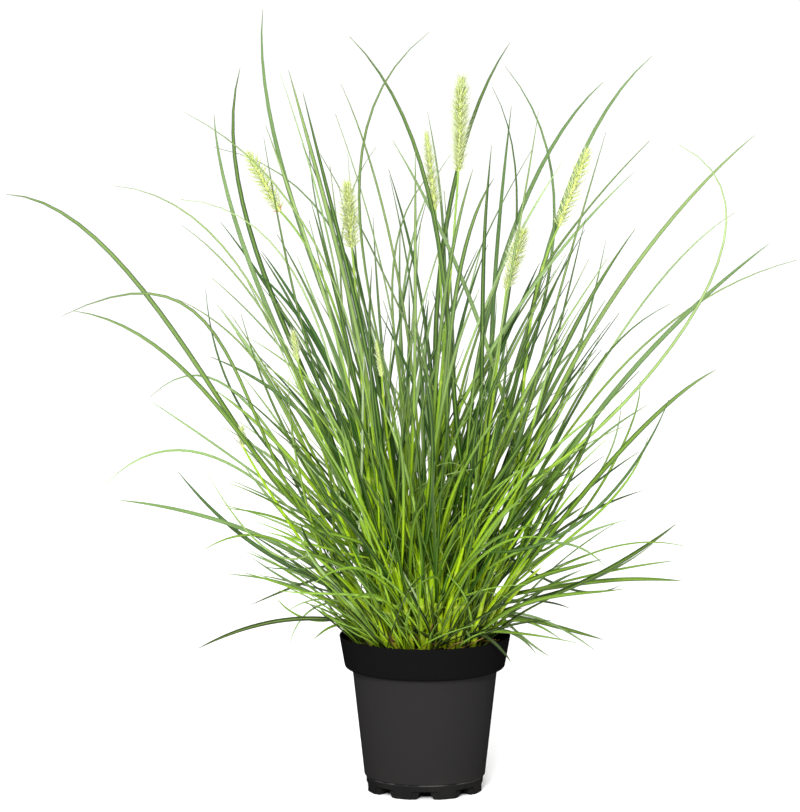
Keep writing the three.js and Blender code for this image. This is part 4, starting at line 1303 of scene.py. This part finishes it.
def add_blades(tally, blades, kind, fold):
    """A batch of blades of one kind, which is how many rings, which section and its upper side. Each
    gets a shade, a dryness, a sway, a fold and a bluntness, drawn unless it has its own."""
    if not blades:
        return
    rings, section, upper_side = kind
    tubes = [
        blade_tube(blade["points"], blade["wide"] * WIDER, facing(blade), rings, section, upper_side,
                   rng.uniform(-2.0, 2.0) * blade["wide"] / 4, fold * rng.uniform(0.6, 1.4),
                   blade.get("blunt", rng.uniform(3, 6)))
        for blade in blades
    ]
    count = len(blades)
    drawn = {"shade": rng.beta(0.65, 0.9, count)}
    partly_dry = rng.uniform(0, 1, count) < 0.12
    drawn["dry"] = np.where(partly_dry, rng.uniform(0.3, 0.6, count), rng.uniform(0, 0.25, count))
    shade, dry = (
        np.array([blade.get(mark, value) for blade, value in zip(blades, values)])[:, None, None]
        for mark, values in drawn.items()
    )
    t = (np.arange(rings) / (rings - 1))[None, :, None]
    tally.add(np.stack(tubes), leaf_finish, (section + 1) / 2, t, (upper_side, shade, dry))


def fine_blade(shoot):
    """A narrow leaf of a shoot: it parts at any height, arches, and its tip falls by its droop. The
    more it rises, the longer, wider and straighter it is; some cross the others and a few bend over."""
    start = rng.uniform(0.05, 0.95)
    rise = rng.uniform(0, 1) ** 0.6
    crossing = rng.uniform(0, 1) < 0.4
    root = along(shoot["points"], start * (0.5 if "head" in shoot else 1))[0]
    foot = shoot["points"][0]
    outside = np.hypot(foot[0], foot[1]) / CROWN_RADIUS
    outward = leaning(90, np.arctan2(foot[1], foot[0]))
    aside = leaning(90, rng.uniform(0, 2 * np.pi))
    parting = heading(shoot["points"], start)[0] + aside * (rng.uniform(0.1, 0.35) + 0.2 * crossing)
    parting = unit(parting + outward * (1 - rise) * (0 if crossing else 0.65) * outside)
    if rng.uniform(0, 1) < 0.12:
        over = rng.uniform(25, 60)
    else:
        over = rng.uniform(3, 22) + (1 - rise) * rng.uniform(0, 30)
    last = min(MOST_DROOP, np.degrees(np.arccos(parting[2])) + over)
    long = 70 + 380 * rise * rng.uniform(0.55, 1.15)
    bend = np.arctan2(parting[1], parting[0]) + rng.uniform(-0.7, 0.7)
    points = arch(root, parting, leaning(last, bend), long)
    wide = 1.6 + 2.6 * rise * rng.uniform(0.3, 1)
    return {"points": points, "wide": wide, "twist": rng.uniform(-160, 160), "spread": 45}


def stands_free(blade):
    """Whether a blade stays in the tussock's reach, which widens upwards, and off the pot's rim."""
    places = along(blade["points"], np.linspace(0, 1, 24))
    x, y, z = blade["points"][-1]
    reach = REACH_ASIDE * (0.72 + 0.28 * np.clip((z - 300) / 120, 0, 1))
    radius = np.hypot(places[:, 0], places[:, 1])
    lowest = POT_HEIGHT + np.where(radius > RIM_RADIUS - 10, 3, -6)
    too_low = (radius < RIM_RADIUS + 3) & (places[:, 2] < lowest)
    return np.hypot(x / reach, y / REACH_DEEP) < 1 and z < REACH_UP and not too_low.any()


def dress(blade):
    """A leading blade stays broad nearly to its tip. The broad ones turn that side to the front."""
    blade.update(blunt=6.5, dry=rng.uniform(0, 0.1))
    if blade["wide"] > 4.5:
        blade.update(wide=blade["wide"] * 0.92, twist=blade["twist"] * 0.5, spread=10)
    else:
        blade.update(wide=blade["wide"] * 0.8, twist=blade["twist"] * 0.9, spread=20)
    blade["shade"] = TONES.get(blade["tip"], rng.beta(1.1, 1.5))


faces = 0
for shoot in shoots:
    for blade in shoot["blades"]:
        if "tip" in blade:
            dress(blade)
    tally = Tally()
    add_stem(tally, shoot)
    add_blades(tally, shoot["blades"], BLADES, 0.3)
    fine = [blade for blade in (fine_blade(shoot) for _ in range(FINE_A_SHOOT)) if stands_free(blade)]
    add_blades(tally, fine, FINE_BLADES, 0.4)
    made = tally.piece(f"leafy_{shoot['name']}", shoot["name"])
    "green_stem" if "head" in shoot else "grass_leaf"
    faces += len(made.data.polygons)
print("shoots:", len(shoots), "faces:", faces)

# %% [markdown]
# ## Flower heads
# A head is a bottlebrush: a thin axis packed all round with spikelets, small pointed husks that lean
# towards the tip, each in a tuft of long pale bristles that make the soft halo. They are set by the
# golden angle, which never lines them up, so they look packed from every side. A spikelet is four
# rings of four points and a bristle three rings of three: small enough to repeat thousands of times.

# %% Flower finish
def flower_head():
    """Yellow-green and painted lighter deep inside the head, as painted light against its own shade, duller
    husks, and pale tips and bristles. Its marks are the outer share, from 0 at the root of a part to 1 at
    its tip, a shade, and how ripe and brown it is."""
    finish = Finish("flower_head", metallic=0.0, specular_ior_level=0.15)
    outer, shade, ripe = finish.marks()
    speckle = finish.noise(finish.place(), 700.0, 2.0)
    husk = finish.mix(shade, srgb(172, 182, 126), srgb(168, 184, 84))
    # Painted light: the roots of the parts are painted lighter, to lift the shade deep in the head
    husk = finish.mix((1 - outer.step(0.0, 0.35)) * 0.8, husk, srgb(186, 200, 108))
    husk = finish.mix(speckle.step(0.45, 0.7) * 0.25, husk, srgb(184, 192, 142))
    husk = finish.mix(ripe, husk, srgb(176, 104, 52))
    finish.give("Base Color", finish.mix(outer.step(0.35, 0.85), husk, srgb(186, 194, 160)))
    finish.give("Roughness", speckle * 0.2 + 0.5)
    return finish


flower_finish = flower_head()
print("flower nodes:", len(flower_finish.tree.nodes))

# %% Spikelets and bristles
# Each head: how many spikelets, how far they lean from the axis in degrees, how long they are, how
# many bristles each carries and how long those are; then its outline: how full its foot is, where it
# is fullest, and how blunt its tip is
HEADS = {
    "a": (96, 58, 12.0, 5, 14.0, 0.7, 0.2, 8),
    "b": (140, 58, 13.5, 5, 19.0, 0.6, 0.35, 3),
    "c": (100, 46, 9.5, 7, 16.0, 0.9, 0.1, 2),
    "d": (220, 54, 11.5, 5, 21.0, 0.4, 0.55, 8),
    "e": (92, 52, 12.0, 5, 15.0, 0.6, 0.3, 6),
    "f": (120, 52, 12.0, 5, 17.0, 0.5, 0.5, 6),
    "g": (50, 44, 6.5, 5, 10.0, 0.5, 0.2, 4),
    "h": (60, 40, 6.5, 5, 10.0, 0.5, 0.2, 4),
    "i": (60, 36, 6.5, 4, 8.0, 0.5, 0.2, 4),
}
# The share at its foot over which a head has turned brown
RIPE = {"a": 0.03}
# The width of a fully open head, the girths along a spikelet and a bristle, and their outer shares
OPEN_WIDTH = 14
SPIKELET_GIRTHS = (0.4, 1.0, 0.75, 0.1)
SPIKELET_OUTER = (0.0, 0.15, 0.5, 1.0)
BRISTLE_GIRTHS = (1.0, 0.8, 0.15)
BRISTLE_OUTER = (0.3, 0.85, 1.0)
SPIKELET_RADIUS = 0.66
BRISTLE_RADIUS = 0.09


def needles(roots, ways, lengths, girths, swell, sides, droop, axis):
    """Many slim pointed shapes at once, one for each root: rings of `sides` points along its way, whose
    radius is the girth times the swell, bent towards `axis` by `droop` times the share squared."""
    t = np.linspace(0, 1, len(swell))
    helper = np.where(np.abs(ways[:, 2:]) > 0.9, [[1.0, 0, 0]], [[0, 0, 1.0]])
    width = unit(np.cross(ways, helper))
    upper = np.cross(ways, width)
    angle = np.arange(sides) * 2 * np.pi / sides
    ring = np.cos(angle)[:, None] * width[:, None, :] + np.sin(angle)[:, None] * upper[:, None, :]
    spine = roots[:, None, :] + ways[:, None, :] * (lengths[:, None] * t)[..., None]
    spine = spine + axis * (droop * lengths[:, None] * t**2)[..., None]
    return spine[:, :, None, :] + ring[:, None] * (girths[:, None] * np.array(swell))[..., None, None]


def head_girth(s, foot, fullest, blunt):
    """A head's outline along its axis: it grows from its foot to where it's fullest, and rounds off at
    the tip as 1 - s to the power of how blunt it is."""
    return (foot + (1 - foot) * np.minimum(1, s / fullest)) * np.maximum(0.15, 1 - s**blunt) ** 0.8


def along_parts(steps):
    """Evenly spaced shares from 0 to 1, one for each ring of a needle."""
    return np.linspace(0, 1, len(steps))[:, None]


def add_head(tally, shoot, count, lean, long, bristles, bristle_long, *outline):
    """A head from its shoot's end to its tip: the axis, spikelets by the golden angle, and bristles."""
    base, tip = shoot["head"]
    axis = unit(tip - base)
    reach = float(np.linalg.norm(tip - base))
    openness = min(1, shoot["wide"] / OPEN_WIDTH)
    side = unit(np.cross(axis, [0, 1.0, 0.2]))
    other = np.cross(axis, side)

    def out(turn):
        """Directions square to the axis, turned about it."""
        return np.cos(turn)[:, None] * side + np.sin(turn)[:, None] * other

    core_t = np.linspace(0, 1, 12)
    core = base + axis * (core_t * (reach - long * 0.3))[:, None]
    core_radius = 0.9 + 0.9 * openness * head_girth(core_t, *outline)
    across = np.broadcast_to(side, core.shape), np.broadcast_to(other, core.shape)
    tally.add(round_tube(core, *across, core_radius, 8)[None], flower_finish, 0.5, 0.5, (0.05, 0.3, 0))

    s = (np.arange(count) + 0.5) / count
    turn = np.arange(count) * GOLDEN_ANGLE + rng.uniform(-0.25, 0.25, count)
    radial = out(turn)
    angle = np.radians(lean * (1 - 0.5 * s**6) * rng.uniform(0.85, 1.15, count))
    way = np.cos(angle)[:, None] * axis + np.sin(angle)[:, None] * radial
    girth = head_girth(s, *outline)
    root = base + axis * (s * (reach - long * 0.45))[:, None] + radial * (0.8 * openness)
    length = long * (0.3 + 0.7 * girth) * rng.uniform(0.8, 1.15, count)
    thick = SPIKELET_RADIUS * rng.uniform(0.8, 1.2, count)
    spikelets = needles(root, way, length, thick, SPIKELET_GIRTHS, 4, 0.15, axis)
    shade = (0.1 + 0.7 * s + rng.uniform(-0.35, 0.35, count))[:, None, None]
    ripe = np.where(s < shoot["ripe"], 1.0, 0.0)[:, None, None]
    marks = np.array(SPIKELET_OUTER)[None, :, None], shade, ripe
    tally.add(spikelets, flower_finish, 0.5, along_parts(SPIKELET_GIRTHS), marks)

    many = count * bristles
    pick = np.repeat(np.arange(count), bristles)
    radial = out(turn[pick] + rng.normal(0, 0.5, many))
    angle = np.radians(np.clip(lean + rng.normal(12, 14, many), 12, 88) * (1 - 0.6 * s[pick] ** 6))
    way = np.cos(angle)[:, None] * axis + np.sin(angle)[:, None] * radial
    length = bristle_long * (0.5 + 0.5 * girth[pick]) * rng.uniform(0.4, 1.1, many)
    hairs = needles(root[pick], way, length, np.full(many, BRISTLE_RADIUS), BRISTLE_GIRTHS, 3, 0.3, axis)
    marks = np.array(BRISTLE_OUTER)[None, :, None], shade[pick], 0.0
    tally.add(hairs, flower_finish, 0.5, along_parts(BRISTLE_GIRTHS), marks)


for shoot in shoots:
    if "head" not in shoot:
        continue
    letter = shoot["name"][-1]
    shoot["ripe"] = RIPE.get(letter, 0.0)
    tally = Tally()
    add_head(tally, shoot, *HEADS[letter])
    head = tally.piece(f"bristly_head_{letter}", f"head_{letter}")
    print(head.name, "faces:", len(head.data.polygons))

# %% [markdown]
# ## Young leaves at the crown
# The foot of an old tussock isn't clean: fine young leaves stand in tufts between the shoots, low ones
# lean out over the compost at the front, and a few long ones spill over the rim. They are the same
# tubes as before. A leaf that would run into the rim or the compost is left out.

# %% Tufts and spilling leaves
YOUNG = 110
LOW = 90
# Leaves that spill over the rim at the sides and lie across the front, as four points and a width
SPILLING = [
    ((44, -34, 151), (68, -42, 168), (90, -50, 167), (110, -58, 149), 3.6),
    ((30, -44, 152), (50, -60, 169), (70, -74, 163), (84, -84, 145), 3.2),
    ((50, -10, 152), (78, -14, 172), (104, -20, 174), (136, -28, 158), 3.2),
    ((-40, -34, 158), (-18, -50, 170), (4, -62, 168), (24, -70, 160), 3.4),
    ((-52, 0, 153), (-72, -16, 170), (-92, -30, 171), (-112, -42, 160), 2.8),
    ((0, -52, 153), (45, -54, 169), (95, -52, 169), (150, -50, 158), 3.0),
]


def crown_place(low, high, sector):
    """A random place on the compost between two shares of the crown's radius and two azimuths."""
    out = CROWN_RADIUS * np.sqrt(rng.uniform(low**2, high**2))
    round_ = np.radians(rng.uniform(*sector))
    x, y = out * np.cos(round_), out * np.sin(round_)
    return np.array([x, y, compost_top(x, y)]), round_


def crown_leaf(low, high, lengths, leans, droops, widths, dry, sector=(0, 360)):
    """A blade from the compost: it sets out at a lean and its tip falls by a droop more. The limits of
    its draws are shares of the crown's radius, millimetres, degrees and dryness."""
    root, round_ = crown_place(low, high, sector)
    way = round_ + rng.normal(0, 0.6)
    lean = rng.uniform(*leans)
    last = leaning(lean + rng.uniform(*droops), way + rng.normal(0, 0.5))
    points = arch(root - [0, 0, 3], leaning(lean, way), last, rng.uniform(*lengths))
    leaf = {"points": points, "wide": rng.uniform(*widths)}
    return {**leaf, "twist": rng.uniform(-200, 200), "dry": rng.uniform(*dry)}


def above_rim(blade):
    """Whether a crown leaf keeps off the rim, the compost and the pot's outside."""
    places = along(blade["points"], np.linspace(0, 1, 16))[3:]
    radius = np.hypot(places[:, 0], places[:, 1])
    lowest = np.where(radius > RIM_RADIUS - 8, POT_HEIGHT + 1.5, SOIL_HEIGHT + 2)
    return bool(np.all((places[:, 2] > lowest) | (radius > RIM_RADIUS + 6)))


def crown_leaves(count, *limits):
    """So many leaves from the compost, less those that aren't clear of the pot."""
    return [leaf for leaf in (crown_leaf(*limits) for _ in range(count)) if above_rim(leaf)]


tufts = Tally()
young_leaves = crown_leaves(YOUNG, 0.3, 1.15, (60, 190), (8, 55), (3, 28), (1.4, 3.4), (0, 0.2))
add_blades(tufts, young_leaves, FINE_BLADES, 0.4)
low_leaves = crown_leaves(LOW, 0.5, 1.15, (45, 120), (20, 62), (5, 26), (1.3, 2.8), (0, 0.2), (190, 330))
add_blades(tufts, low_leaves, FINE_BLADES, 0.4)
spilling = [{"points": np.array(by, float), "wide": wide, "twist": 40.0} for *by, wide in SPILLING]
add_blades(tufts, spilling, BLADES, 0.3)
print("young, low and spilling leaves:", len(young_leaves), len(low_leaves), len(spilling))

# %% [markdown]
# ## The front of the tussock
# The photograph's front is made by a few stems and leaves that stand out: thick lime stems in their
# sheaths, and long leaves that cross the others. They are set as points seen from the front, each put
# at a depth that comes nearer from foot to tip. Thin wisps cross between them.

# %% Front stems and leaves
# A stem is three seen points, its width at the foot and at the top; a leaf four seen points, a width
# and a shade
FRONT_STEMS = [
    ((-13, 137), (-32, 215), (-78, 300), 3.4, 2.0),
    ((-2, 137), (-5, 220), (2, 310), 4.4, 2.6),
    ((4, 137), (8, 230), (12, 330), 5.4, 3.0),
    ((13, 137), (16, 225), (10, 315), 4.6, 2.6),
    ((35, 138), (46, 220), (62, 310), 5.4, 3.0),
    ((27, 138), (35, 215), (44, 300), 4.6, 2.6),
    ((48, 139), (66, 215), (98, 300), 4.6, 2.6),
    ((-38, 139), (-66, 225), (-108, 318), 4.2, 2.6),
]
FRONT_LEAVES = [
    ((-67, 228), (-64, 305), (-61, 385), (-61, 460), 3.4, 2.0),
    ((10, 138), (-28, 222), (-82, 288), (-137, 345), 3.2, 1.8),
    ((4, 138), (-3, 240), (-22, 325), (-48, 396), 4.0, 1.4),
    ((6, 138), (-8, 232), (-32, 300), (-62, 358), 3.2, 0.6),
    ((2, 138), (-35, 182), (-90, 193), (-150, 195), 3.2, 1.3),
    ((-8, 139), (-45, 196), (-95, 225), (-150, 243), 4.6, 0.25),
    ((-2, 139), (-38, 226), (-90, 253), (-145, 272), 3.6, 0.45),
    ((-44, 141), (-78, 186), (-104, 216), (-127, 250), 3.8, 1.6),
    ((-16, 138), (-50, 228), (-73, 292), (-88, 345), 4.4, 1.0),
    ((6, 138), (32, 232), (72, 310), (112, 364), 6.0, 0.15),
    ((36, 139), (72, 232), (112, 335), (150, 404), 5.2, 0.3),
    ((-4, 138), (16, 238), (38, 325), (66, 420), 4.0, 0.6),
    ((33, 138), (48, 236), (62, 316), (79, 396), 4.2, 1.0),
    ((28, 138), (41, 228), (50, 306), (60, 385), 3.4, 1.0),
    ((40, 140), (85, 193), (125, 213), (178, 228), 4.8, 0.3),
    ((44, 140), (90, 178), (140, 190), (200, 198), 4.2, 0.5),
]
# The depths of those points, which are below 0 in front of the pot's axis
STEM_DEPTHS = (-53, -62, -71)
LEAF_DEPTHS = (-54, -66, -78, -90)
# Where the sheaths of a front stem end, as shares of its length
SHEATHS = [{"start": share} for share in (0.25, 0.45, 0.65, 0.85)]


def seen_curve(by, depths):
    """The points of a curve as seen from the front, each put at its depth."""
    return np.array([seen(x, z, depth) for (x, z), depth in zip(by, depths)])


for *by, wide, narrow in FRONT_STEMS:
    radii = wide / 2 / FOOT_SHARE, narrow / 2 / TOP_SHARE
    stem = {"points": seen_curve(by, STEM_DEPTHS), "radii": radii, "blades": SHEATHS}
    add_stem(tufts, stem, rng.uniform(0.2, 0.8))
front_leaves = []
for *by, wide, shade in FRONT_LEAVES:
    leaf = {"points": seen_curve(by, LEAF_DEPTHS), "wide": wide, "shade": shade, "spread": 20, "dry": 0.0}
    front_leaves.append({**leaf, "twist": rng.uniform(-60, 60)})
add_blades(tufts, front_leaves, BLADES, 0.3)
print("front stems and leaves:", len(FRONT_STEMS), len(front_leaves))

# %% Wisps that cross the others
WISPS = 90
# Only shoots whose feet stand nearer than this bear them
WISP_FEET_BEFORE = 15


def wisp(shoot):
    """A thin leaf that leaves a shoot for the front half and bends either way."""
    root = along(shoot["points"], rng.uniform(0.3, 1.0) * (0.45 if "head" in shoot else 1))[0]
    way, lean = np.radians(rng.uniform(190, 350)), rng.uniform(10, 60)
    last = leaning(lean + rng.uniform(-30, 60), way + rng.uniform(-1, 1))
    points = arch(root, leaning(lean, way), last, rng.uniform(60, 200))
    leaf = {"points": points, "wide": rng.uniform(0.8, 1.8), "twist": rng.uniform(-150, 150)}
    return {**leaf, "shade": rng.uniform(0.2, 1.5), "dry": rng.uniform(0, 0.15)}


nearer = [shoot for shoot in shoots if shoot["points"][0][1] < WISP_FEET_BEFORE]
wisps = [wisp(nearer[int(rng.integers(len(nearer)))]) for _ in range(WISPS)]
wisps = [leaf for leaf in wisps if stands_free(leaf)]
add_blades(tufts, wisps, FINE_BLADES, 0.4)
print("wisps:", len(wisps))

# %% Young shoots round the crown
# Foot x, foot y, tip x, tip height and width
YOUNG_SHOOTS = [
    (-3, -50, -5, 262, 5.4), (8, -47, 13, 250, 6.0), (16, -50, 34, 236, 4.2), (-13, -48, -30, 232, 4.0),
    (27, -46, 52, 248, 5.0), (38, -42, 74, 238, 5.4), (46, -36, 92, 226, 4.6), (52, -28, 104, 236, 4.4),
    (-25, -45, -58, 222, 4.2), (-37, -38, -82, 218, 4.4), (-48, -30, -100, 228, 4.0),
    (-54, -18, -112, 224, 4.2), (56, -12, 116, 222, 4.2), (-56, 2, -108, 236, 4.4), (57, 8, 110, 240, 4.4),
    (0, 54, 4, 240, 5.0), (26, 50, 60, 232, 4.6), (-28, 49, -66, 236, 4.6), (48, 33, 96, 228, 4.4),
    (-49, 32, -98, 226, 4.4),
]


def young_shoot(foot_x, foot_y, tip_x, tip_z, wide):
    """A short stem that curves out from its foot, with three blades."""
    foot = np.array([foot_x, foot_y, compost_top(foot_x, foot_y)])
    tip = np.array([tip_x, foot_y * 1.5, PLAN_LEVEL + tip_z])
    middle = (foot + tip) / 2 + np.array([foot_x - tip_x, 0, 0]) * 0.1
    stem = {"points": np.array([foot, middle, tip]), "radii": (wide / 1.8, wide / 2.8), "blades": []}
    for share in (0.4, 0.7, 1.0):
        aside = leaning(90, rng.uniform(0, 2 * np.pi))
        parting = unit(heading(stem["points"], share)[0] + aside * 0.3)
        fall = np.degrees(np.arccos(parting[2])) + rng.uniform(3, 26)
        bend = np.arctan2(parting[1], parting[0]) + rng.uniform(-0.8, 0.8)
        root = along(stem["points"], share)[0]
        points = arch(root, parting, leaning(fall, bend), rng.uniform(110, 240))
        blade = {"points": points, "wide": wide * rng.uniform(0.6, 0.9), "twist": rng.uniform(-120, 120)}
        stem["blades"].append({**blade, "start": share})
    return stem


for row in YOUNG_SHOOTS:
    stem = young_shoot(*row)
    add_stem(tufts, stem)
    add_blades(tufts, [blade for blade in stem["blades"] if stands_free(blade)], BLADES, 0.4)
tuft_piece = tufts.piece("young_tufts")
print("tufts:", len(tuft_piece.data.polygons))

# %% [markdown]
# ## Straws and husks
# Last year's leaves lie between the shoots as short tan straws, and dry husks curl up round each foot.
# Both are blades whose dryness is about 1, so the leaf's finish shows them brown.

# %% Dry litter
STRAWS = 90
HUSKS_A_SHOOT = 2
HUSK_BLADES = (10, SECTION, UPPER)


def husk_at(foot):
    """A broad dry sheath that stands close to a shoot's foot and curls away from it at its tip."""
    way = rng.uniform(0, 2 * np.pi)
    root = foot + leaning(90, way) * 2.2 - [0, 0, 4]
    lean, last = rng.uniform(4, 14), rng.uniform(15, 50)
    points = arch(root, leaning(lean, way), leaning(last, way), rng.uniform(16, 42))
    leaf = {"points": points, "wide": rng.uniform(2.4, 4.2)}
    return {**leaf, "twist": rng.uniform(-30, 30), "dry": rng.uniform(0.9, 1.2)}


litter = Tally()
straws = crown_leaves(STRAWS, 0.4, 1.1, (12, 44), (50, 85), (5, 30), (0.7, 1.6), (1.0, 1.2))
add_blades(litter, straws, FINE_BLADES, 0.3)
husks = [husk_at(shoot["points"][0]) for shoot in shoots for _ in range(HUSKS_A_SHOOT)]
add_blades(litter, husks, HUSK_BLADES, 0.9)
litter_piece = litter.piece("straws_and_husks")
print("straws:", len(straws), "husks:", len(husks), "faces:", len(litter_piece.data.polygons))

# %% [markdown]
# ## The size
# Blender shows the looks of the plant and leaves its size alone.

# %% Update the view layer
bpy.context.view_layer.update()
